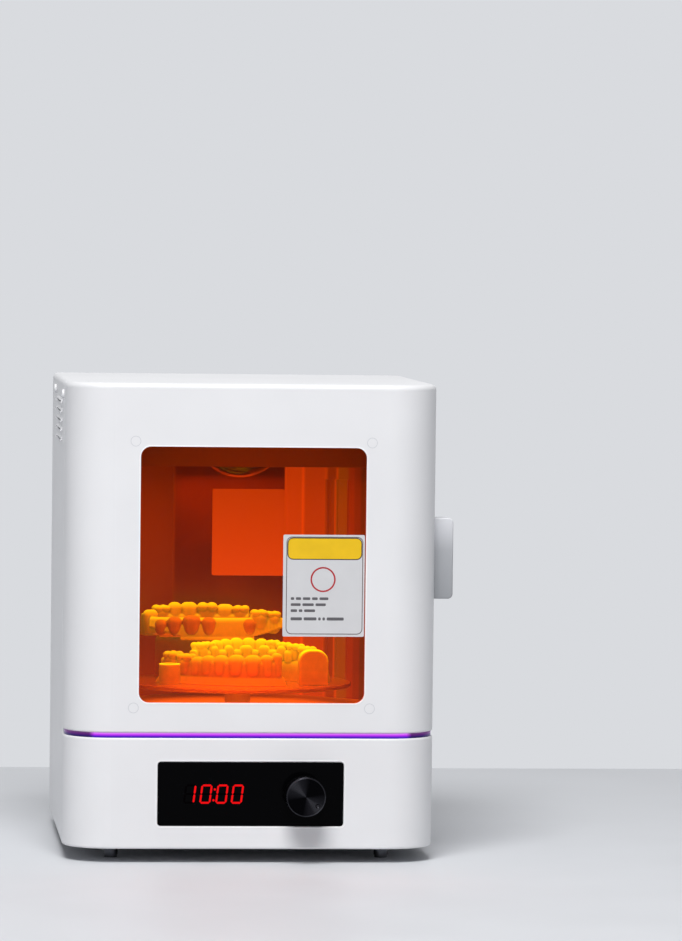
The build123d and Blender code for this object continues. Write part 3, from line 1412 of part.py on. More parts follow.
# ---- Export ------------------------------------------------------------------------------------
pieces = {
    "outer_housing": outer_housing,
    "base_plate": base_plate,
    "feet": feet,
    "foot_screws": foot_screws,
    "rear_panel": rear_panel,
    "case_screws": case_screws,
    "front_bezel": front_bezel,
    "catch_magnets": catch_magnets,
    "door_sensor": door_sensor,
    "chamber_floor": chamber_floor,
    "chamber_ceiling": chamber_ceiling,
    "chamber_liner": chamber_liner,
    "chassis_posts": chassis_posts,
    "corner_covers": corner_covers,
    "lamp_boards": lamp_boards,
    "corner_heatsinks": corner_heatsinks,
    "rear_diffuser": rear_diffuser,
    "top_lens": top_lens,
    "lens_ring": lens_ring,
    "top_lamp_board": top_lamp_board,
    "top_heatsink": top_heatsink,
    "cross_rails": cross_rails,
    "rail_screws": rail_screws,
    "light_guide": light_guide,
    "light_strip": light_strip,
    "display_panel": display_panel,
    "display_module": display_module,
    "front_board": front_board,
    "board_spacers": board_spacers,
    "encoder_body": encoder_body,
    "encoder_nut": encoder_nut,
    "encoder_push_rod": encoder_push_rod,
    "encoder_shaft": encoder_shaft,
    "knob": knob,
    "turntable_plate": turntable_plate,
    "turntable_spindle": turntable_spindle,
    "turntable_motor": turntable_motor,
    "fan_frame_upper": fan_frame_upper,
    "fan_frame_lower": fan_frame_lower,
    "fan_rotor_upper": fan_rotor_upper,
    "fan_rotor_lower": fan_rotor_lower,
    "power_inlet": power_inlet,
    "switch_housing": switch_housing,
    "power_rocker": power_rocker,
    "power_supply": power_supply,
    "control_board": control_board,
    "hinge_tongue": hinge_tongue,
    "hinge_pins": hinge_pins,
    "door_shell": door_shell,
    "door_liner": door_liner,
    "door_screws": door_screws,
    "door_gasket": door_gasket,
    "strike_plates": strike_plates,
    "window_pane": window_pane,
    "window_seal": window_seal,
    "window_retainer": window_retainer,
    "window_plugs": window_plugs,
    "blank_label": blank_label,
    "door_handle": door_handle,
}
for name, piece in pieces.items():
    piece.part.label = name
    export_step(piece.part, f"parts/{name}.step")
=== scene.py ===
"""Looks of a bench-top light curing box: materials, printed and lit details, camera and studio."""
import math

import bpy
import numpy as np
from mathutils import Matrix, Vector


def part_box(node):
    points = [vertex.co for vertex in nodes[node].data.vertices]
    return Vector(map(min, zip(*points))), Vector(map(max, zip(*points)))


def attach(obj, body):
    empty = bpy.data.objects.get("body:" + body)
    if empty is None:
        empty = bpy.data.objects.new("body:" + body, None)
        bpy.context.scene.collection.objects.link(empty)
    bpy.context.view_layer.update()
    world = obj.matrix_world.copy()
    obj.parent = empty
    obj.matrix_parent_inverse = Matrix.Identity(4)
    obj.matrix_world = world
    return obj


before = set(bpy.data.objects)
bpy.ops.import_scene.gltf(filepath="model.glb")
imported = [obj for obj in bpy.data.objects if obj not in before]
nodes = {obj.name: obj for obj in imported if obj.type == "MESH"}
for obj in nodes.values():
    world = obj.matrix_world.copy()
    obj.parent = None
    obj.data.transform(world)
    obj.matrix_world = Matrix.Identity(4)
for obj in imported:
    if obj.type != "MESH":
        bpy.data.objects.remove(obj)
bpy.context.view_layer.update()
scene = bpy.context.scene
mm = 0.001
x_axis, y_axis, z_axis = 0, 1, 2
quarter_turn = math.radians(90)


# ---- Small tools ---------------------------------------------------------------------------------
def linear(hex_colour):
    """An sRGB hex colour as the linear RGBA that shaders take."""
    parts = [int(hex_colour[i : i + 2], 16) / 255 for i in (1, 3, 5)]
    return tuple(c / 12.92 if c <= 0.04045 else ((c + 0.055) / 1.055) ** 2.4 for c in parts) + (1.0,)


def shaded(hex_colour, share):
    """The colour made lighter by a share, or darker where it is below zero."""
    parts = [int(hex_colour[i : i + 2], 16) for i in (1, 3, 5)]
    return "#" + "".join(f"{max(0, min(255, round(part * (1 + share)))):02X}" for part in parts)


def add_node(tree, kind, settings=None, links=None):
    """Adds a shader node.

    Settings name inputs, properties or a ramp's stops; links give inputs their sockets.
    """
    node = tree.nodes.new(kind)
    for key, value in (settings or {}).items():
        if key == "stops":
            elements = node.color_ramp.elements
            while len(elements) < len(value):
                elements.new(0.5)
            for element, (place, colour) in zip(elements, value):
                element.position = place
                element.color = linear(colour)
        elif isinstance(key, int) or key in node.inputs:
            node.inputs[key].default_value = value
        else:
            setattr(node, key, value)
    for key, socket in (links or {}).items():
        tree.links.new(socket, node.inputs[key])
    return node


def new_material(name):
    """An empty node material: its tree and its surface input."""
    material = bpy.data.materials.new(name)
    material.use_nodes = True
    tree = material.node_tree
    tree.nodes.clear()
    output = add_node(tree, "ShaderNodeOutputMaterial")
    return material, tree, output.inputs["Surface"]


def deselect_all():
    """Leaves edit mode with nothing selected."""
    if bpy.context.object and bpy.context.object.mode != "OBJECT":
        bpy.ops.object.mode_set(mode="OBJECT")
    bpy.ops.object.select_all(action="DESELECT")


def select_only(piece):
    """Selects one piece, and makes it the active one."""
    deselect_all()
    piece.select_set(True)
    bpy.context.view_layer.objects.active = piece


def named(name):
    """The active piece, under its own name."""
    piece = bpy.context.object
    piece.name = name
    piece.data.name = name
    return piece


def moved(piece, place=(0, 0, 0), turn=0.0, axis="Z"):
    """Turns a piece's mesh about the origin by radians and then moves it."""
    piece.data.transform(Matrix.Translation(place) @ Matrix.Rotation(turn, 4, axis))
    return piece


def copy_of(piece):
    """A copy with its own mesh."""
    twin = piece.copy()
    twin.data = piece.data.copy()
    scene.collection.objects.link(twin)
    return twin


def join(pieces, name):
    """One piece made of several."""
    select_only(pieces[0])
    for piece in pieces:
        piece.select_set(True)
    if len(pieces) > 1:
        bpy.ops.object.join()
    return named(name)


def block(low, high, name="block"):
    """A box between two corners in metres, to be shaped."""
    deselect_all()
    middle = (Vector(low) + Vector(high)) / 2
    size = Vector(high) - Vector(low)
    bpy.ops.mesh.primitive_cube_add(size=1.0, location=middle, scale=size)
    bpy.ops.object.transform_apply(location=True, rotation=True, scale=True)
    return named(name)


def round_blank(radius, depth, corners):
    """A cylinder about Z in metres, its middle on the origin, to be shaped."""
    deselect_all()
    bpy.ops.mesh.primitive_cylinder_add(vertices=corners, radius=radius, depth=depth)
    return bpy.context.object


def round_off(piece, axis, radius, steps, above=-1.0):
    """Bevels the edges that run along one axis and start above a height, all in metres."""
    select_only(piece)
    bpy.ops.object.mode_set(mode="EDIT")
    bpy.ops.mesh.select_mode(type="EDGE")
    bpy.ops.mesh.select_all(action="DESELECT")
    bpy.ops.object.mode_set(mode="OBJECT")
    points = piece.data.vertices
    for edge in piece.data.edges:
        start, end = (points[i].co for i in edge.vertices)
        edge.select = abs((end - start).normalized()[axis]) > 0.99 and start.z > above
    bpy.ops.object.mode_set(mode="EDIT")
    bpy.ops.mesh.bevel(offset=radius, segments=steps)
    bpy.ops.object.mode_set(mode="OBJECT")
    return piece


def open_up(piece, axis, wall):
    """Cuts the piece through along one axis and leaves a wall all round."""
    select_only(piece)
    bpy.ops.object.mode_set(mode="EDIT")
    bpy.ops.mesh.select_mode(type="FACE")
    bpy.ops.mesh.select_all(action="DESELECT")
    bpy.ops.object.mode_set(mode="OBJECT")
    for face in piece.data.polygons:
        face.select = abs(face.normal[axis]) > 0.99
    bpy.ops.object.mode_set(mode="EDIT")
    bpy.ops.mesh.inset(thickness=wall)
    bpy.ops.mesh.bridge_edge_loops()
    bpy.ops.object.mode_set(mode="OBJECT")
    return piece


def give(piece, material, body):
    """Finishes a new piece: its material and the body it rides on."""
    piece.data.materials.clear()
    piece.data.materials.append(material)
    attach(piece, body)


def dress(material, *names):
    """Gives CAD nodes a material."""
    for name in names:
        nodes[name].data.materials.clear()
        nodes[name].data.materials.append(material)


# ---- Materials -----------------------------------------------------------------------------------
def own_place(tree, centre=(0, 0, 0), turn=0.0, stretch=(1, 1, 1)):
    """Places on the object, centred on a point, turned about Z and stretched."""
    place = add_node(tree, "ShaderNodeTexCoord")
    settings = {"Location": [-c for c in centre]}
    centred = add_node(tree, "ShaderNodeMapping", settings, {"Vector": place.outputs["Object"]})
    settings = {"Rotation": (0, 0, turn), "Scale": stretch}
    mapped = add_node(tree, "ShaderNodeMapping", settings, {"Vector": centred.outputs[0]})
    return mapped.outputs[0]


def share_of(tree, place, axis, low, high, to_low=0.0, to_high=1.0):
    """How far along one axis a place is, as a value from to_low to to_high."""
    split = add_node(tree, "ShaderNodeSeparateXYZ", links={0: place})
    settings = {"From Min": low, "From Max": high, "To Min": to_low, "To Max": to_high}
    return add_node(tree, "ShaderNodeMapRange", settings, {"Value": split.outputs[axis]}).outputs["Result"]


def grain(tree, size_mm, depth_mm, strength=0.35, stretch=(1, 1, 1)):
    """A surface normal with a relief of grains, size_mm across."""
    place = own_place(tree, stretch=stretch)
    grains = add_node(tree, "ShaderNodeTexNoise", {"Scale": 1 / (size_mm * mm)}, {"Vector": place})
    settings = {"Strength": strength, "Distance": depth_mm * mm}
    relief = add_node(tree, "ShaderNodeBump", settings, {"Height": grains.outputs["Fac"]})
    return relief.outputs["Normal"]


def clouds(tree, colour, share, size_mm, roughness):
    """The colour and the roughness, both a little uneven over clouds of that size."""
    settings = {"Scale": 1 / (size_mm * mm), "Detail": 3.0}
    cloud = add_node(tree, "ShaderNodeTexNoise", settings, {"Vector": own_place(tree)})
    stops = [(0.3, shaded(colour, -share)), (0.7, shaded(colour, share))]
    tint = add_node(tree, "ShaderNodeValToRGB", {"stops": stops}, {"Fac": cloud.outputs["Fac"]})
    settings = {"To Min": roughness * 0.85, "To Max": roughness * 1.15}
    spread = add_node(tree, "ShaderNodeMapRange", settings, {"Value": cloud.outputs["Fac"]})
    return tint.outputs["Color"], spread.outputs["Result"]


def opaque(name, colour, roughness, grain_mm, depth_mm, share=0.01, cloud_mm=60.0, **extra):
    """A moulded, painted, printed or metal surface.

    Its grain is grain_mm across and depth_mm high. Its colour varies by a share, over clouds cloud_mm across.
    What is extra goes on the shader's own sockets.
    """
    material, tree, surface = new_material(name)
    tint, spread = clouds(tree, colour, share, cloud_mm, roughness)
    settings = {key.replace("_", " "): value for key, value in extra.items()}
    links = {"Base Color": tint, "Roughness": spread, "Normal": grain(tree, grain_mm, depth_mm)}
    shader = add_node(tree, "ShaderNodeBsdfPrincipled", settings, links)
    tree.links.new(shader.outputs[0], surface)
    return material


# White ABS shells, sprayed satin: even, with wide soft highlights; the grain is only just seen.
white_abs = opaque("satin_white_abs", "#EBEBED", 0.42, 0.35, 0.006, Coat_Weight=0.08)
# Light grey ABS as it comes from the mould, behind the door: darker and smoother than the shells.
grey_abs = opaque("light_grey_abs", "#CFD0D4", 0.36, 0.35, 0.005)
# Powder-coated steel sheet of base and rear panel: pale grey with an orange peel.
powder_coat = opaque("grey_powder_coat", "#D2D3D6", 0.5, 1.2, 0.03)
# Mauve grey powder coat of the frame and the ceiling round the chamber: matt, so that it stays quiet.
dark_coat = opaque("mauve_grey_powder_coat", "#98808C", 0.5, 1.0, 0.02, share=0.03)
# Black ABS of fans, inlet and switch: matt from an eroded mould.
black_abs = opaque("matt_black_abs", "#141416", 0.45, 0.6, 0.02, share=0.08)
# Black silicone of the seals: dull and a little dusty.
silicone = opaque("black_silicone", "#101012", 0.7, 1.0, 0.02, share=0.08)
# Zinc-plated steel of screws, rails and brackets: bright and a little cloudy.
zinc_steel = opaque("zinc_plated_steel", "#B9BCC2", 0.32, 1.5, 0.01, share=0.05, cloud_mm=8.0, Metallic=1.0)
# Extruded aluminium of heat sinks, posts, spacers and shafts: pale with a soft sheen.
raw_aluminium = opaque("extruded_aluminium", "#C4C6CA", 0.38, 0.8, 0.01, 0.04, 10.0, Metallic=1.0)
# Nickel plate of the magnets: a warm mirror.
nickel = opaque("nickel_plate", "#C9C4BC", 0.18, 2.0, 0.004, 0.03, 10.0, Metallic=1.0)
# Black nickel of the turned feet: a dark mirror with a bright line down each.
black_nickel = opaque("black_nickel_plate", "#4A4B50", 0.2, 1.5, 0.003, 0.04, 5.0, Metallic=1.0)
# Solder mask of the boards: glossy green over a woven board, and matt white on lamp boards.
green_mask = opaque("green_solder_mask", "#0F4A26", 0.3, 0.8, 0.01, 0.1, 5.0, Coat_Weight=0.4)
white_mask = opaque("white_solder_mask", "#D8D8D4", 0.35, 0.8, 0.01, 0.03, 5.0)
# Gloss white of the raised edges round window and panel: glossier than the sprayed shell, and a shade
# brighter as a painted highlight.
edge_highlight_white = opaque("white_abs_painted_edge_highlight", "#FCFCFD", 0.2, 1.0, 0.001)
# Gloss vinyl of the label: flat colour with a faint shine.
white_vinyl = opaque("white_gloss_vinyl", "#D4D4D6", 0.3, 2.0, 0.002, 0.01, 12.0)
# Screen inks on the label: flat, thin and a little duller than the vinyl.
yellow_ink = opaque("yellow_screen_ink", "#EEC000", 0.45, 0.6, 0.002, 0.02, 10.0)
line_ink = opaque("brown_screen_ink", "#4C3A3C", 0.4, 0.6, 0.002, 0.03, 10.0)
red_ink = opaque("red_screen_ink", "#B01C28", 0.4, 0.6, 0.002, 0.03, 10.0)
grey_ink = opaque("dark_grey_screen_ink", "#5E5C60", 0.4, 0.6, 0.002, 0.03, 10.0)
# Cast acrylic tinted so deep that only lit digits show through: near black with weak, sharp reflections.
black_acrylic = opaque("tinted_black_acrylic", "#020203", 0.08, 6.0, 0.001, 0.05, Specular_IOR_Level=0.03)
# Ink of the line round the display panel: a dark grey that only just parts from the black.
border_ink = opaque("dark_grey_border_ink", "#26262A", 0.3, 0.6, 0.001, 0.03, 10.0)


def grip_abs():
    """ABS of the grip, sprayed white: lighter at its top end and greyer towards its foot, which is painted
    shade of light from above.
    """
    material, tree, surface = new_material("white_abs_painted_shade_to_foot")
    low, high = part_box("door_handle")
    height = share_of(tree, own_place(tree), "Z", low.z, high.z)
    # painted shade: lighter at the top end, greyer towards the foot
    stops = [(0.0, "#9A9CA0"), (0.6, "#AEB0B4"), (0.95, "#DCDDE1")]
    tint = add_node(tree, "ShaderNodeValToRGB", {"stops": stops}, {"Fac": height})
    links = {"Base Color": tint.outputs["Color"], "Normal": grain(tree, 0.35, 0.006)}
    shader = add_node(tree, "ShaderNodeBsdfPrincipled", {"Roughness": 0.4}, links)
    tree.links.new(shader.outputs[0], surface)
    return material


def rolled_aluminium():
    """Reflector sheet: a soft mirror with faint upright rolling lines, tarnished in clouds, with painted
    light towards its foot.
    """
    material, tree, surface = new_material("rolled_aluminium_sheet")
    tint, spread = clouds(tree, "#7C525A", 0.06, 30.0, 0.36)
    lines = grain(tree, 0.8, 0.004, 0.2, stretch=(1, 1, 0.02))
    # painted light: brighter towards the turntable, where the chamber's lamps light the wall
    painted_light_from, painted_light_full = 165 * mm, 105 * mm
    painted_light_share = share_of(tree, own_place(tree), "Z", painted_light_from, painted_light_full, 1.0, 2.2)
    painted_light_tint = add_node(tree, "ShaderNodeVectorMath", {"operation": "SCALE"}, {0: tint, "Scale": painted_light_share})
    links = {"Base Color": painted_light_tint.outputs[0], "Roughness": spread, "Normal": lines}
    shader = add_node(tree, "ShaderNodeBsdfPrincipled", {"Metallic": 1.0}, links)
    tree.links.new(shader.outputs[0], surface)
    return material


def clear_sheet(name, colour, ior, shade, roughness=0.02):
    """Clear or tinted plastic or glass, and the tint of the light that it lets past."""
    material, tree, surface = new_material(name)
    settings = {"Base Color": linear(colour), "Roughness": roughness, "IOR": ior, "Transmission Weight": 1.0}
    glass = add_node(tree, "ShaderNodeBsdfPrincipled", settings)
    clear = add_node(tree, "ShaderNodeBsdfTransparent", {"Color": linear(shade)})
    path = add_node(tree, "ShaderNodeLightPath")
    links = {0: path.outputs["Is Shadow Ray"], 1: glass.outputs[0], 2: clear.outputs[0]}
    both = add_node(tree, "ShaderNodeMixShader", links=links)
    tree.links.new(both.outputs[0], surface)
    return material


# Cast acrylic in deep amber, which stops violet light. Its anti-glare coat takes most of the shine, hence
# a low IOR.
amber_acrylic = clear_sheet("amber_cast_acrylic", "#FF9A00", 1.2, "#E86200")
# Opal cast acrylic of the turntable: milky white under a gloss that mirrors what stands on it at a low angle.
opal_acrylic = opaque("glossy_opal_acrylic", "#D6D0D8", 0.1, 4.0, 0.001)
# Pressed glass of the top lens: thick, with a bright rim.
lens_glass = clear_sheet("pressed_lens_glass", "#D8B8D0", 1.45, "#D8B8D0")


def lit_opal(node):
    """Opal acrylic over a lamp board: it glows violet all over, more towards its lower end."""
    material, tree, surface = new_material("lit_opal_acrylic")
    low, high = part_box(node)
    glow = share_of(tree, own_place(tree), "Z", low.z, high.z, 1.25, 0.8)
    settings = {"Base Color": linear("#463048"), "Roughness": 0.35, "Emission Color": linear("#C25CFF")}
    shader = add_node(tree, "ShaderNodeBsdfPrincipled", settings, {"Emission Strength": glow})
    tree.links.new(shader.outputs[0], surface)
    return material


# The chamber's rear corners are cut at 45 degrees: the middle of the right cut, and half its width.
cut_x = 56 * mm
cut_y = 58 * mm
cut_half = 31 * mm


def lit_fluted_opal():
    """The corner covers: ribs that glow, with painted highlights and shade along their edges, a duller rod at
    the edge, and a foot with a painted glow of the floor's light.

    The right cover is lit, and the left one stays dim.
    """
    material, tree, surface = new_material("lit_fluted_opal_acrylic")
    low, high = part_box("corner_covers")
    across = share_of(tree, own_place(tree, (cut_x, cut_y, 0), math.radians(45)), "X", -cut_half, cut_half)
    # one stop at each edge of a rib or a flat; the brighter and darker stops are painted highlights and shade
    # of the ribs and the rod
    stops = [
        (0.18, "#C25CFF"),
        (0.205, "#DF6EFF"),
        (0.24, "#AD51E0"),
        (0.465, "#AD51E0"),
        (0.49, "#BC61F0"),
        (0.53, "#813FA8"),
        (0.61, "#813FA8"),
        (0.635, "#BC61F0"),
        (0.66, "#865AA0"),
        (0.765, "#865AA0"),
        (0.78, "#8736B0"),
        (0.84, "#8736B0"),
        (0.86, "#6E2C90"),
        (0.92, "#6E2C90"),
        (0.94, "#4A2A60"),
    ]
    tint = add_node(tree, "ShaderNodeValToRGB", {"stops": stops}, {"Fac": across})
    lit_side = share_of(tree, own_place(tree), "X", -1 * mm, 1 * mm, 0.2, 0.93)
    fall = share_of(tree, own_place(tree), "Z", low.z, high.z, 1.15, 0.9)
    # painted light: a glow towards the foot, standing in for the lit floor's light
    painted_floor_glow_from, painted_floor_glow_full = 135 * mm, 95 * mm
    painted_floor_glow = share_of(tree, own_place(tree), "Z", painted_floor_glow_from, painted_floor_glow_full, 0.0, 0.16)
    side_glow = add_node(tree, "ShaderNodeMath", {"operation": "MULTIPLY"}, {0: lit_side, 1: fall})
    glow = add_node(tree, "ShaderNodeMath", {"operation": "ADD"}, {0: side_glow.outputs[0], 1: painted_floor_glow})
    settings = {"Base Color": linear("#64486A"), "Roughness": 0.3}
    links = {"Emission Color": tint.outputs["Color"], "Emission Strength": glow.outputs[0]}
    shader = add_node(tree, "ShaderNodeBsdfPrincipled", settings, links)
    tree.links.new(shader.outputs[0], surface)
    return material


def lit_guide():
    """Clear acrylic light guide under the door: magenta along its top, indigo below, dim at its corners."""
    material, tree, surface = new_material("violet_lit_acrylic")
    low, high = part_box("light_guide")
    height = share_of(tree, own_place(tree), "Z", low.z, high.z)
    stops = [(0.0, "#2A0890"), (0.4, "#5A14C8"), (0.7, "#C428F4"), (0.95, "#D874F4")]
    tint = add_node(tree, "ShaderNodeValToRGB", {"stops": stops}, {"Fac": height})
    split = add_node(tree, "ShaderNodeSeparateXYZ", links={0: own_place(tree)})
    away = add_node(tree, "ShaderNodeMath", {"operation": "ABSOLUTE"}, {0: split.outputs["X"]})
    bend_start, bend_end = 88 * mm, 91 * mm
    settings = {"From Min": bend_start, "From Max": bend_end, "To Min": 1.0, "To Max": 0.16}
    fade = add_node(tree, "ShaderNodeMapRange", settings, {"Value": away.outputs[0]})
    settings = {"Base Color": linear("#1A0838"), "Roughness": 0.25, "Specular IOR Level": 0.2}
    links = {"Emission Color": tint.outputs["Color"], "Emission Strength": fade.outputs["Result"]}
    shader = add_node(tree, "ShaderNodeBsdfPrincipled", settings, links)
    tree.links.new(shader.outputs[0], surface)
    return material


def turned_aluminium():
    """Black-anodised aluminium turned on a lathe: rings about its axis in relief, a fan highlight painted
    across its face and a highlight painted round its rim.
    """
    turning_mm = 0.5  # pitch of the turning lines, coarser than a lathe leaves them so that they show
    # way of the painted fan highlight
    painted_fan_way = (0.7, 0, -0.71)  # from upper left to lower right
    material, tree, surface = new_material("black_anodised_aluminium")
    low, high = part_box("knob")
    axis = ((low.x + high.x) / 2, 0, (low.z + high.z) / 2)
    rim = (high.x - low.x) / 2
    place = own_place(tree, axis, stretch=(1, 0, 1))
    radius = add_node(tree, "ShaderNodeVectorMath", {"operation": "LENGTH"}, {0: place})
    settings = {"operation": "MULTIPLY", 1: 2 * math.pi / (turning_mm * mm)}
    phase = add_node(tree, "ShaderNodeMath", settings, {0: radius.outputs["Value"]})
    rings = add_node(tree, "ShaderNodeMath", {"operation": "SINE"}, {0: phase.outputs[0]})
    settings = {"Strength": 0.5, "Distance": 0.02 * mm}
    relief = add_node(tree, "ShaderNodeBump", settings, {"Height": rings.outputs[0]})
    # besides the painted fan highlight, a painted highlight round the rim
    outward = add_node(tree, "ShaderNodeVectorMath", {"operation": "NORMALIZE"}, {0: place})
    settings = {"operation": "DOT_PRODUCT", 1: painted_fan_way}
    fan = add_node(tree, "ShaderNodeVectorMath", settings, {0: outward.outputs[0]})
    level = add_node(tree, "ShaderNodeMath", {"operation": "ABSOLUTE"}, {0: fan.outputs["Value"]})
    painted_fan_stops = [(0.55, "#08080A"), (0.93, "#202024"), (1.0, "#38383C")]
    painted_fan_highlight = add_node(tree, "ShaderNodeValToRGB", {"stops": painted_fan_stops}, {"Fac": level.outputs[0]})
    settings = {"From Min": 0.9 * rim, "From Max": rim}
    edge = add_node(tree, "ShaderNodeMapRange", settings, {"Value": radius.outputs["Value"]})
    painted_rim_stops = [(0.0, "#000000"), (0.35, "#000000"), (0.5, "#2E2E32"), (0.75, "#202024"), (1.0, "#101012")]
    painted_rim_highlight = add_node(tree, "ShaderNodeValToRGB", {"stops": painted_rim_stops}, {"Fac": edge.outputs["Result"]})
    settings = {"data_type": "RGBA", "blend_type": "ADD", "Factor": 1.0}
    links = {6: painted_fan_highlight.outputs["Color"], 7: painted_rim_highlight.outputs["Color"]}
    both = add_node(tree, "ShaderNodeMix", settings, links)
    settings = {"Metallic": 1.0, "Roughness": 0.26}
    links = {"Base Color": both.outputs[2], "Normal": relief.outputs["Normal"]}
    shader = add_node(tree, "ShaderNodeBsdfPrincipled", settings, links)
    tree.links.new(shader.outputs[0], surface)
    return material


def display_segment(name, colour, strength):
    """A display bar behind the tinted acrylic: clear red epoxy, a little uneven where light comes through."""
    spot_mm = 1.5
    material, tree, surface = new_material(name)
    spots = add_node(tree, "ShaderNodeTexNoise", {"Scale": 1 / (spot_mm * mm)}, {"Vector": own_place(tree)})
    settings = {"To Min": 0.85 * strength, "To Max": 1.15 * strength}
    glow = add_node(tree, "ShaderNodeMapRange", settings, {"Value": spots.outputs["Fac"]})
    settings = {
        "Base Color": linear("#020102"),
        "Roughness": 0.4,
        "Specular IOR Level": 0.01,
        "Emission Color": linear(colour),
    }
    links = {"Emission Strength": glow.outputs["Result"]}
    shader = add_node(tree, "ShaderNodeBsdfPrincipled", settings, links)
    tree.links.new(shader.outputs[0], surface)
    return material


def printed_resin(name, colour, side_glow, top_glow, heights):
    """Dental resin, printed in layers: satin, with painted shade in its grooves and a yellow-green glow in
    violet light.

    Faces that look up glow by top_glow and the others by side_glow: painted light falling from above. The
    glow is weak at the first of the two heights, in mm, and full at the second, a painted fall of light away
    from the lamp above.
    """
    material, tree, surface = new_material(name)
    tint, spread = clouds(tree, colour, 0.04, 5.0, 0.42)
    facing = add_node(tree, "ShaderNodeTexCoord")
    # painted light: faces that look up glow more, as if lit from above
    painted_light_from_above = share_of(tree, facing.outputs["Normal"], "Z", 0.0, 0.9, side_glow, top_glow)
    weak, full = heights
    height = share_of(tree, own_place(tree), "Z", weak * mm, full * mm, 0.15, 1.0)
    glow = add_node(tree, "ShaderNodeMath", {"operation": "MULTIPLY"}, {0: painted_light_from_above, 1: height})
    # painted shade: darker in the grooves, both colour and glow
    grooves = add_node(tree, "ShaderNodeAttribute", {"attribute_name": "groove"})
    settings = {"From Min": -0.1, "From Max": 0.45, "To Min": 1.0, "To Max": 0.35}
    painted_groove_shade = add_node(tree, "ShaderNodeMapRange", settings, {"Value": grooves.outputs["Fac"]})
    links = {0: glow.outputs[0], 1: painted_groove_shade.outputs["Result"]}
    groove_shaded_glow = add_node(tree, "ShaderNodeMath", {"operation": "MULTIPLY"}, links)
    links = {0: tint, "Scale": painted_groove_shade.outputs["Result"]}
    groove_shaded_tint = add_node(tree, "ShaderNodeVectorMath", {"operation": "SCALE"}, links)
    links = {
        "Base Color": groove_shaded_tint.outputs[0],
        "Roughness": spread,
        "Emission Strength": groove_shaded_glow.outputs[0],
        "Normal": grain(tree, 0.5, 0.02, 0.3, stretch=(0.05, 0.05, 1)),
    }
    shader = add_node(tree, "ShaderNodeBsdfPrincipled", {"Emission Color": linear("#B8FF26")}, links)
    tree.links.new(shader.outputs[0], surface)
    return material


lit_red = display_segment("lit_red_epoxy", "#FF1014", 0.9)
unlit_red = display_segment("unlit_red_epoxy", "#40060A", 0.002)
# Copies of the resin that differ mostly by painted light: the far row's copy glows brighter all over as if
# lit, and the ends' copy has brighter painted tops
front_resin = printed_resin("yellow_dental_resin", "#ECA840", 0.22, 1.9, (97, 115))
top_lit_painted_resin = printed_resin("dental_resin_painted_top_lit", "#ECA840", 0.2, 3.0, (84, 104))
lit_painted_resin = printed_resin("yellow_dental_resin_painted_lit", "#E0A840", 0.95, 2.5, (99, 115))
rear_resin = printed_resin("amber_dental_resin", "#DC9C3A", 0.32, 1.95, (112, 134))
# painted shade: the dies' copy of the resin, darker and with little glow
shaded_die_resin = printed_resin("amber_die_resin_painted_shade", "#D07C30", 0.1, 0.5, (112, 134))
dull_resin = printed_resin("dull_support_resin", "#C08838", 0.05, 0.1, (99, 115))

dress(white_abs, "outer_housing", "door_shell", "rail_screws", "window_plugs")
dress(grip_abs(), "door_handle")
dress(grey_abs, "door_liner", "window_retainer")
dress(powder_coat, "base_plate", "rear_panel", "chamber_floor")
dress(dark_coat, "front_bezel", "chamber_ceiling")
dress(rolled_aluminium(), "chamber_liner", "lens_ring")
dress(amber_acrylic, "window_pane")
dress(opal_acrylic, "turntable_plate")
dress(lens_glass, "top_lens")
lit_corner = lit_fluted_opal()
dress(lit_corner, "corner_covers")
dress(lit_opal("rear_diffuser"), "rear_diffuser")
dress(lit_guide(), "light_guide")
dress(black_acrylic, "display_panel")
dress(turned_aluminium(), "knob")
dress(white_vinyl, "blank_label")
dress(black_nickel, "feet")
dress(black_abs, "fan_frame_upper", "fan_frame_lower", "fan_rotor_upper", "fan_rotor_lower", "power_inlet")
dress(black_abs, "switch_housing", "power_rocker", "door_sensor", "display_module", "encoder_push_rod")
dress(silicone, "door_gasket", "window_seal")
dress(zinc_steel, "foot_screws", "case_screws", "cross_rails", "encoder_body", "encoder_nut", "hinge_tongue")
dress(zinc_steel, "hinge_pins", "strike_plates", "door_screws", "turntable_motor", "power_supply")
dress(raw_aluminium, "chassis_posts", "corner_heatsinks", "top_heatsink", "board_spacers", "encoder_shaft")
dress(raw_aluminium, "turntable_spindle")
dress(nickel, "catch_magnets")
dress(green_mask, "front_board", "control_board")
dress(white_mask, "lamp_boards", "top_lamp_board", "light_strip")


# ---- Display digits, label print and thin trim ---------------------------------------------------
panel_low, panel_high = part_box("display_panel")
label_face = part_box("blank_label")[0].y
door_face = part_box("door_shell")[0].y

# Sizes of the print and the trim, mm. An area is its left, right, lower and upper side.
ink_mm = 0.03
digit_mid = 39.0  # height of the digits' middle
digit_high = 10.9
digit_wide = 6.4
bar_wide = 1.1
bar_gap = 0.2
digit_lean = math.tan(math.radians(7.0))
digit_places = ((-34.3, "bc"), (-25.2, "abcdef"), (-16.2, "abcdef"), (-7.5, "abcdef"))  # middle and lit bars
colon_places = ((-20.2, 41.6), (-20.95, 35.5))
colon_r = 0.65
border_inset = 1.5  # of the line printed on the display panel
border_wide = 0.4
label_border = (18.8, 62.1, 129.3, 184.3)
band_edge = (19.3, 61.6, 171.3, 183.8)
band_fill = (19.7, 61.2, 171.7, 183.4)
label_ring_r = 7.1
label_ring_wide = 0.9
label_ring_x, label_ring_z = 39.6, 160.2
word_rows = (
    (149.4, 1.5, (1.9, 2.9, 4.2, 3.2, 5.0)),
    (146.0, 1.5, (5.6, 6.4, 5.8)),
    (142.6, 1.5, (3.6, 2.0, 6.2)),
    (138.0, 1.7, (6.4, 7.2, 1.4, 1.4, 9.6)),
)  # height of a row's middle, its depth and the lengths of its plain bars
word_left = 21.5
word_gap = 1.0
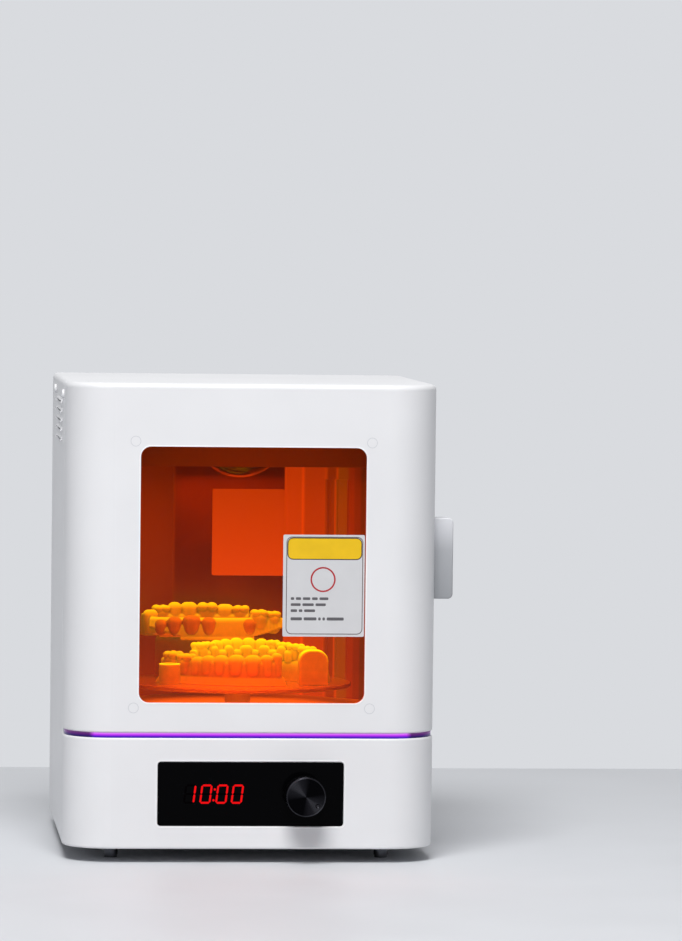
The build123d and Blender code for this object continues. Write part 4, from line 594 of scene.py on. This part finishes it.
panel_opening = (-53.0, 53.0, 20.35, 57.65)
window_opening = (-63.6, 63.6, 90.4, 234.4)
plug_r = 2.8  # the window plugs' radius
seam_wide = 0.3


def print_plate(area, corner, face):
    """A plate of ink with round corners, in mm, that stands on a face whose y is in metres."""
    left, right, foot, top = area
    plate = block((left * mm, face - ink_mm * mm, foot * mm), (right * mm, face, top * mm), "ink_plate")
    return round_off(plate, y_axis, corner * mm, 5)


def print_ring(radius, wide, corners):
    """A ring of ink in mm, its middle on the origin, that faces the front."""
    ring = open_up(round_blank(radius * mm, ink_mm * mm, corners), z_axis, wide * mm)
    return moved(ring, turn=quarter_turn, axis="X")


def display_bar(length):
    """A bar of the display with pointed ends, level and centred on the origin."""
    half = Vector((length, ink_mm, bar_wide)) * mm / 2
    point = 0.49 * bar_wide  # just short of half, so that the tip stays a face
    return round_off(block(-half, half, "bar"), y_axis, point * mm, 1)


def display_digits():
    """Four leaning digits and a colon: the bars that are lit, and the faint ones that are not."""
    level = display_bar(digit_wide - bar_wide - bar_gap)
    upright = display_bar((digit_high - bar_wide) / 2 - bar_gap)
    moved(upright, turn=quarter_turn, axis="Y")
    side = (digit_wide - bar_wide) / 2
    rise = (digit_high - bar_wide) / 2
    bars = {
        "a": (level, 0, rise),
        "b": (upright, side, rise / 2),
        "c": (upright, side, -rise / 2),
        "d": (level, 0, -rise),
        "e": (upright, -side, -rise / 2),
        "f": (upright, -side, rise / 2),
        "g": (level, 0, 0),
    }
    lean = Matrix.Identity(4)
    lean[0][2] = digit_lean
    front = panel_low.y - ink_mm * mm / 2
    groups = {True: [], False: []}
    for middle, lit in digit_places:
        for name, (model, x, z) in bars.items():
            bar = moved(copy_of(model), (x * mm, 0, z * mm))
            bar.data.transform(Matrix.Translation((middle * mm, front, digit_mid * mm)) @ lean)
            groups[name in lit].append(bar)
    for x, z in colon_places:
        dot = round_off(round_blank(colon_r * mm, ink_mm * mm, 16), z_axis, 0.1 * mm, 1)
        moved(dot, turn=quarter_turn, axis="X")
        groups[True].append(moved(dot, (x * mm, front, z * mm)))
    for model in (level, upright):
        bpy.data.objects.remove(model)
    give(join(groups[True], "lit_display_bars"), lit_red, "case")
    give(join(groups[False], "unlit_display_bars"), unlit_red, "case")


def panel_border():
    """The line printed just inside the display panel's edge."""
    left, right = panel_low.x / mm + border_inset, panel_high.x / mm - border_inset
    foot, top = panel_low.z / mm + border_inset, panel_high.z / mm - border_inset
    line = open_up(print_plate((left, right, foot, top), 2.4, panel_low.y), y_axis, border_wide * mm)
    give(join([line], "panel_border_line"), border_ink, "case")


def label_print():
    """The label's print: a border, a plain yellow band, an empty ring and rows of plain bars, no words."""
    border = open_up(print_plate(label_border, 3.2, label_face), y_axis, border_wide * mm)
    edge = open_up(print_plate(band_edge, 3.2, label_face), y_axis, 0.55 * mm)
    ring = print_ring(label_ring_r, label_ring_wide, 64)
    moved(ring, (label_ring_x * mm, label_face - ink_mm * mm / 2, label_ring_z * mm))
    band = print_plate(band_fill, 2.8, label_face)
    bars = []
    for middle, deep, lengths in word_rows:
        left = word_left
        for length in lengths:
            area = (left, left + length, middle - deep / 2, middle + deep / 2)
            bars.append(print_plate(area, 0.5, label_face))
            left += length + word_gap
    give(join([band], "label_yellow_band"), yellow_ink, "door")
    give(join([border, edge], "label_lines"), line_ink, "door")
    give(join([ring], "label_ring"), red_ink, "door")
    give(join(bars, "label_plain_bars"), grey_ink, "door")


def opening_edge(name, body, area, corner, wide):
    """A raised edge round an opening of the front face, in mm, brighter than the shell as a painted
    highlight.
    """
    left, right, foot, top = area
    proud_mm, sunk_mm, round_mm = 0.12, 0.1, 0.06
    rim = block(
        ((left - wide) * mm, door_face - proud_mm * mm, (foot - wide) * mm),
        ((right + wide) * mm, door_face + sunk_mm * mm, (top + wide) * mm),
    )
    rim = open_up(round_off(rim, y_axis, (corner + wide) * mm, 8), y_axis, wide * mm)
    bevel = rim.modifiers.new("soft", "BEVEL")
    bevel.width = round_mm * mm
    bevel.segments = 2
    select_only(rim)
    bpy.ops.object.modifier_apply(modifier="soft")
    give(join([rim], name), edge_highlight_white, body)


def plug_seams():
    """The fine joint round each of the four window plugs, where a little dust settles."""
    low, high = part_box("window_plugs")
    seams = []
    for side_x in (low.x + plug_r * mm, high.x - plug_r * mm):
        for side_z in (low.z + plug_r * mm, high.z - plug_r * mm):
            seam = print_ring(plug_r + seam_wide / 2, seam_wide, 48)
            seams.append(moved(seam, (side_x, door_face - ink_mm * mm / 2, side_z)))
    give(join(seams, "window_plug_seams"), grey_abs, "door")


def corner_film():
    """Opal film over each cut corner of the chamber, floor to ceiling; the covers' ribs stand through it."""
    liner_low, liner_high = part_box("chamber_liner")
    film = 0.3 * mm
    gap = 0.05 * mm  # left free behind the film
    half = cut_half - 0.1 * mm
    back = 80 * mm  # y of the chamber's back wall
    strip_inner, strip_outer = 32.6 * mm, 34.2 * mm  # the strip of the back wall beside the cut
    for side, name in ((-1, "corner_film_left"), (1, "corner_film_right")):
        sheet = block((-half, -film, liner_low.z), (half, 0, liner_high.z), "sheet")
        moved(sheet, (side * cut_x, cut_y, 0), math.radians(-45 * side))
        moved(sheet, (0, -gap, 0))
        strip_low, strip_high = sorted((side * strip_inner, side * strip_outer))
        strip = block((strip_low, back - film, liner_low.z), (strip_high, back - gap, liner_high.z), "strip")
        give(join([sheet, strip], name), lit_corner, "case")


display_digits()
panel_border()
label_print()
opening_edge("panel_edge", "case", panel_opening, corner=2.4, wide=0.5)
opening_edge("window_edge", "door", window_opening, corner=5.7, wide=0.8)
plug_seams()
corner_film()


# ---- Dental casts on the turntable ---------------------------------------------------------------
plate_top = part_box("turntable_plate")[1].z
skin_mm = 0.45  # voxel of the skin drawn over a cast's parts
tooth_pitch = 0.95  # share of a tooth's width to the next one, so that they grow into each other


def crown(width, depth, height, neck=0.92, edge=0.75):
    """A tooth in mm, its foot on the origin: round all over, widest above its middle.

    The neck and the biting edge are shares of its full width and depth.
    """
    widest = 0.62  # share of its height
    half = Vector((width, depth, height)) * mm / 2
    tooth = block(-half, half, "crown")
    select_only(tooth)
    bpy.ops.object.mode_set(mode="EDIT")
    bpy.ops.mesh.select_all(action="SELECT")
    bpy.ops.mesh.bevel(offset=0.42 * min(width, depth) * mm, segments=6, affect="EDGES")
    bpy.ops.object.mode_set(mode="OBJECT")
    for vertex in tooth.data.vertices:
        up = (vertex.co.z / half.z + 1) / 2
        bulge = 1.04 - 0.5 * (up - widest) ** 2
        vertex.co.x *= bulge * (neck + (1 - neck) * min(1.0, 1.6 * up))
        vertex.co.y *= 1 + (edge - 1) * up * up
        vertex.co.z += half.z
    return [tooth]


def molar(width, depth, height):
    """A back tooth in mm, its foot on the origin: a round block with four cusps round a hollow."""
    pieces = crown(width, depth, height - 1.0, neck=0.95, edge=0.95)
    cusp_r = 0.29 * width
    cusp_squash = 0.8
    cusp_drop = 0.24 * width
    for side in (-1, 1):
        for end in (-1, 1):
            deselect_all()
            bpy.ops.mesh.primitive_uv_sphere_add(segments=16, ring_count=10, radius=cusp_r * mm)
            cusp = bpy.context.object
            cusp.data.transform(Matrix.Diagonal((1, 1, cusp_squash, 1)))
            place = (side * 0.22 * width * mm, end * 0.24 * depth * mm, (height - cusp_drop) * mm)
            pieces.append(moved(cusp, place))
    return pieces


def rib(width, depth, height, top_share):
    """A short length of gum or base in mm, wide at its foot, round along its top."""
    half = Vector((width, depth, height)) * mm / 2
    piece = block(-half, half, "rib")
    for vertex in piece.data.vertices:
        if vertex.co.z > 0:
            vertex.co.y *= top_share
        vertex.co.z += half.z
    return round_off(piece, x_axis, 0.3 * min(depth * top_share, height) * mm, 3, above=half.z)


def bow(left_x, top_x, top_y, bend):
    """Walks along a bow, all in mm: from left_x rightwards, its top at (top_x, top_y), curved by bend."""

    def walk(length):
        x = left_x
        for _ in range(round(length * 2)):
            x += 0.5 * math.cos(math.atan(2 * bend * (x - top_x)))
        return Vector((x, top_y + bend * (x - top_x) ** 2)) * mm, math.atan(2 * bend * (x - top_x))

    return walk


def ring_walk(middle_x, middle_y, radius, start):
    """Walks round a circle in mm from a start angle in degrees, against the clock."""

    def walk(length):
        angle = math.radians(start) + length / radius
        place = Vector((middle_x + radius * math.cos(angle), middle_y + radius * math.sin(angle)))
        return place * mm, angle + math.pi / 2

    return walk


def laid(pieces, walk, length, height):
    """Puts pieces on a walk at a length, and at a height above the turntable, both in mm."""
    place, heading = walk(length)
    for piece in pieces:
        moved(piece, (place.x, place.y, plate_top + height * mm), heading)
    return pieces


def row_of_teeth(walk, start, height, teeth):
    """Teeth side by side: the width, depth and height of each in mm, and whether it is a molar."""
    pieces = []
    length = start
    for width, depth, tall, back in teeth:
        model = molar(width, depth, tall) if back else crown(width, depth, tall)
        pieces += laid(model, walk, length + width / 2, height)
        length += tooth_pitch * width
    return pieces


def ridge(walk, end, foot, depth, height, top_share, swell=0.0, start=0.0):
    """Gum or base along a walk, from start to end, as overlapping short ribs, all in mm.

    Its top is top_share times as wide as its foot, and its foot rises towards both ends by swell.
    """
    step = 2.0
    model = rib(2 * step, depth, height, top_share)
    count = int((end - start) / step) + 1
    pieces = []
    for i in range(count):
        raised = swell * (2 * i / (count - 1) - 1) ** 2
        piece = copy_of(model)
        piece.data.transform(Matrix.Diagonal((1, 1, 1 - raised / height, 1)))
        pieces += laid([piece], walk, start + i * step, foot + raised)
    bpy.data.objects.remove(model)
    return pieces


def mark_grooves(cast):
    """Stores how deep each point lies in a groove: how far its wide surroundings stand above it, in mm."""
    rounds = 8  # how often the surroundings are averaged, so how wide they are
    mesh = cast.data
    count = len(mesh.vertices)
    points = np.empty(count * 3)
    normals = np.empty(count * 3)
    ends = np.empty(len(mesh.edges) * 2, dtype=np.int64)
    mesh.vertices.foreach_get("co", points)
    mesh.vertices.foreach_get("normal", normals)
    mesh.edges.foreach_get("vertices", ends)
    points = points.reshape(-1, 3)
    normals = normals.reshape(-1, 3)
    first, second = ends.reshape(-1, 2).T
    near_count = np.bincount(ends, minlength=count)[:, None]
    spread = points.copy()
    for _ in range(rounds):
        total = np.zeros_like(spread)
        for axis in range(3):
            total[:, axis] = np.bincount(first, spread[second, axis], count)
            total[:, axis] += np.bincount(second, spread[first, axis], count)
        spread = total / near_count
    depth = ((spread - points) * normals).sum(axis=1) / mm
    mesh.attributes.new("groove", "FLOAT", "POINT").data.foreach_set("value", depth)


def skinned(pieces, name):
    """One smooth skin over all the parts, as a printed cast has."""
    cast = join(pieces, name)
    skin = cast.modifiers.new("skin", "REMESH")
    skin.mode = "VOXEL"
    skin.voxel_size = skin_mm * mm
    soften = cast.modifiers.new("soften", "SMOOTH")
    soften.iterations = 2
    select_only(cast)
    bpy.ops.object.modifier_apply(modifier="skin")
    bpy.ops.object.modifier_apply(modifier="soften")
    bpy.ops.object.shade_smooth()
    mark_grooves(cast)
    return cast


def front_cast_near():
    """The front cast's near bow of teeth, seen from outside, on a low sloping foot."""
    near = bow(-41.5, 9.5, -33.0, 0.0105)
    teeth = (
        (10.4, 10.0, 14.5, True),
        (9.8, 10.0, 13.5, True),
        (7.2, 9.0, 12.0, False),
        (8.0, 9.0, 13.0, False),
        (9.0, 9.0, 13.5, False),
        (10.0, 9.5, 14.0, False),
        (10.0, 9.5, 14.0, False),
        (7.0, 9.0, 14.0, False),
        (5.4, 8.5, 15.0, False),
    )
    pieces = ridge(near, end=73, foot=0, depth=17.0, height=5.0, top_share=0.4)
    pieces += ridge(near, end=71, foot=2.0, depth=8.6, height=12.0, top_share=0.75)
    pieces += row_of_teeth(near, 0, 3.5, teeth)
    return skinned(pieces, "front_cast_near_row")


def front_cast_far():
    """The front cast's far bow of teeth, seen from inside, with the folds of the gum before it."""
    far = bow(-25.5, 8.5, 16.0, -0.017)
    folds = bow(-20.0, 8.5, 10.0, -0.013)
    teeth = (
        (8.6, 9.0, 12.0, True),
        (7.2, 8.5, 12.0, True),
        (6.6, 8.0, 12.5, False),
        (7.0, 8.0, 13.0, False),
        (8.0, 8.0, 13.5, False),
        (8.0, 8.0, 13.5, False),
        (7.4, 8.0, 13.0, False),
        (7.4, 8.0, 12.5, True),
        (8.0, 8.5, 11.5, True),
        (9.0, 9.0, 11.0, True),
        (9.4, 9.0, 10.0, True),
    )
    pieces = ridge(far, end=88, foot=0, depth=15.0, height=12.0, top_share=0.6)
    pieces += ridge(far, end=86, foot=8.0, depth=7.0, height=10.0, top_share=0.7)
    pieces += row_of_teeth(far, 0, 10.5, teeth)
    fold_pitch = 5.2
    for i in range(11):
        fold = crown(5.0 + i % 3, 5.0, 7.5 + i % 2, neck=0.9, edge=0.9)
        pieces += laid(fold, folds, 2 + fold_pitch * i, 10.0 + 1.5 * (i % 2))
    return skinned(pieces, "front_cast_far_row")


def rear_cast():
    """The rear cast, up on its stand: a far row of teeth, and a near gum with two molars at its right end."""
    near = bow(-47.5, -10.5, 23.0, 0.0035)
    far = bow(-51.0, -20.5, 57.0, -0.0045)
    rim = ring_walk(5.0, 40.0, 17.0, -70)
    lift = 22.5  # of the cast on its stand
    pieces = ridge(near, end=74, foot=lift, depth=12.0, height=12.5, top_share=0.6, swell=7.0)
    pieces += ridge(rim, end=46, foot=lift + 6, depth=6.0, height=6.5, top_share=0.6)
    pieces += ridge(near, end=56, foot=lift - 0.5, depth=14.0, height=2.0, top_share=0.9, start=18.0)
    pieces += ridge(far, end=60, foot=lift, depth=10.0, height=13.0, top_share=0.8)
    pieces += row_of_teeth(near, 57, lift + 3, ((9.5, 11.0, 14.5, True), (8.5, 10.0, 13.5, True)))
    far_teeth = (
        (9.8, 9.0, 13.0, True),
        (8.2, 8.5, 14.5, False),
        (10.2, 8.5, 14.5, False),
        (12.0, 8.5, 14.5, True),
        (10.4, 8.5, 13.5, False),
        (9.6, 8.5, 13.0, True),
    )
    pieces += row_of_teeth(far, 4, lift + 5, far_teeth)
    # one more tooth at the left end, between the two rows
    for piece in crown(9.0, 7.0, 15.0, neck=0.7, edge=0.6):
        pieces.append(moved(piece, (-49.5 * mm, 33 * mm, plate_top + 24 * mm), math.radians(20)))
    return skinned(pieces, "rear_dental_cast")


def rear_dies():
    """Prepared tooth dies, in a copy of the resin painted darker as shade, that stand in the rear cast's near
    gum.
    """
    near = bow(-47.5, -10.5, 20.0, 0.0035)
    # how far along the gum a die stands, its width and its height, mm
    dies = ((4, 8.0, 9.5), (12, 9.0, 11.0), (22, 10.5, 12.0), (32, 8.5, 11.0), (56, 8.0, 10.0))
    pieces = []
    for length, width, tall in dies:
        pieces += laid(crown(width, 8.0, tall, neck=0.7, edge=0.8), near, length, 24.5)
    return skinned(pieces, "rear_cast_dies")


def rear_stand():
    """The plain stand under the rear cast, narrower than it."""
    near = bow(-44.0, -10.5, 29.0, 0.0035)
    far = bow(-42.0, -20.5, 52.0, -0.0045)
    pieces = []
    for walk, end in ((near, 60), (far, 46)):
        pieces += ridge(walk, end, foot=0, depth=8.0, height=23.0, top_share=0.9)
    return skinned(pieces, "rear_cast_stand")


def cast_ends():
    """The front cast's ends: a round-topped block at the right and a thin round cup at the left."""
    right = block((33.5 * mm, -30 * mm, plate_top), (50.5 * mm, -19 * mm, plate_top + 20 * mm))
    right = round_off(right, y_axis, 6.5 * mm, 6, above=plate_top + 1 * mm)
    cup_r, cup_wall, cup_high = 6.2 * mm, 1.3 * mm, 11.5 * mm
    cup = open_up(round_blank(cup_r, cup_high, 48), z_axis, cup_wall)
    moved(cup, (-41.0 * mm, -22 * mm, plate_top + cup_high / 2))
    return skinned([right, cup], "front_cast_ends")


give(front_cast_near(), front_resin, "turntable")
give(front_cast_far(), lit_painted_resin, "turntable")
give(cast_ends(), top_lit_painted_resin, "turntable")
give(rear_cast(), rear_resin, "turntable")
give(rear_dies(), shaded_die_resin, "turntable")
give(rear_stand(), dull_resin, "turntable")


# ---- Studio --------------------------------------------------------------------------------------
scene.view_settings.view_transform = "Standard"

camera_place = Vector((-227.3, -3214.2, 350.0)) * mm
camera_yaw = 0.0889  # radians to the right of +Y
camera_pitch = 0.0412  # radians below the level
camera_roll = 0.0113  # radians
focal_px = 5539.6  # focal length in pixels of the picture's longer side
long_side_px = 941
sensor_mm = 36.0
turntable_y = -5 * mm  # y of the turntable's middle
table_side = 12.0
table_back = 0.45  # y of the table's far edge, metres


def place_camera():
    """A long lens some three metres before the box, a little left of its front and a little above its top."""
    forward = Vector(
        (
            math.sin(camera_yaw) * math.cos(camera_pitch),
            math.cos(camera_yaw) * math.cos(camera_pitch),
            -math.sin(camera_pitch),
        )
    )
    level = Vector((math.cos(camera_yaw), -math.sin(camera_yaw), 0))
    upright = level.cross(forward)
    right = math.cos(camera_roll) * level + math.sin(camera_roll) * upright
    up = math.cos(camera_roll) * upright - math.sin(camera_roll) * level
    turn = Matrix((right, up, -forward)).transposed().to_4x4()
    deselect_all()
    bpy.ops.object.camera_add()
    camera = bpy.context.object
    camera.matrix_world = Matrix.Translation(camera_place) @ turn
    camera.data.sensor_width = sensor_mm
    camera.data.lens = focal_px * sensor_mm / long_side_px
    camera.data.clip_end = 50
    scene.camera = camera


def soft_light(name, place, aim, side, watts):
    """A square softbox at place that faces aim, in metres."""
    deselect_all()
    bpy.ops.object.light_add(type="AREA", location=place)
    lamp = bpy.context.object
    lamp.name = name
    lamp.data.size = side
    lamp.data.energy = watts
    lamp.rotation_euler = (Vector(aim) - Vector(place)).to_track_quat("-Z", "Y").to_euler()


def chamber_lamp(name, height, side, watts):
    """A violet-white lamp that faces down over the turntable's middle."""
    deselect_all()
    bpy.ops.object.light_add(type="AREA", location=(0, turntable_y, height))
    lamp = bpy.context.object
    lamp.name = name
    lamp.data.shape = "DISK"
    lamp.data.size = side
    lamp.data.energy = watts
    lamp.data.color = (1.0, 0.3, 1.0)
    # the lamp itself stays out of sight from below, also through the pane
    lamp.visible_camera = False
    lamp.visible_transmission = False


def backdrop_rays(tree):
    """1 for rays from the camera, a mirror or a glass, which see the plain backdrop, and 0 for light."""
    path = add_node(tree, "ShaderNodeLightPath")
    links = {0: path.outputs["Is Glossy Ray"], 1: path.outputs["Is Transmission Ray"]}
    mirror = add_node(tree, "ShaderNodeMath", {"operation": "MAXIMUM"}, links)
    links = {0: mirror.outputs[0], 1: path.outputs["Is Camera Ray"]}
    return add_node(tree, "ShaderNodeMath", {"operation": "MAXIMUM"}, links).outputs[0]


def table_sheet():
    """A matt pale laminate table under the box, its far edge a little way behind it."""
    material, tree, surface = new_material("pale_laminate")
    tint, spread = clouds(tree, "#D6D8DC", 0.01, 80.0, 0.45)
    links = {"Base Color": tint, "Roughness": spread}
    shader = add_node(tree, "ShaderNodeBsdfPrincipled", {"Specular IOR Level": 0.2}, links)
    tree.links.new(shader.outputs[0], surface)
    deselect_all()
    bpy.ops.mesh.primitive_plane_add(size=table_side, location=(0, table_back - table_side / 2, 0))
    bpy.ops.object.transform_apply(location=True, rotation=False, scale=False)
    floor = named("floor")
    floor.data.materials.append(material)


def studio_world():
    """An even pale room: a plain backdrop to the eye, and soft light from all round at a lower level."""
    world = bpy.data.worlds.new("studio")
    world.use_nodes = True
    tree = world.node_tree
    tree.nodes.clear()
    output = add_node(tree, "ShaderNodeOutputWorld")
    room = add_node(tree, "ShaderNodeBackground", {"Color": linear("#F4F5F8"), "Strength": 0.14})
    backdrop = add_node(tree, "ShaderNodeBackground", {"Color": linear("#D9DBDF"), "Strength": 1.0})
    links = {0: backdrop_rays(tree), 1: room.outputs[0], 2: backdrop.outputs[0]}
    mixed = add_node(tree, "ShaderNodeMixShader", links=links)
    tree.links.new(mixed.outputs[0], output.inputs["Surface"])
    scene.world = world


place_camera()
soft_light("key_softbox", place=(-0.32, -1.7, 2.78), aim=(0, 0, 0.15), side=1.4, watts=106)
chamber_lamp("lamp_under_lens", height=211 * mm, side=110 * mm, watts=0.14)
chamber_lamp("lamp_under_turntable", height=90.5 * mm, side=120 * mm, watts=0.05)
table_sheet()
studio_world()
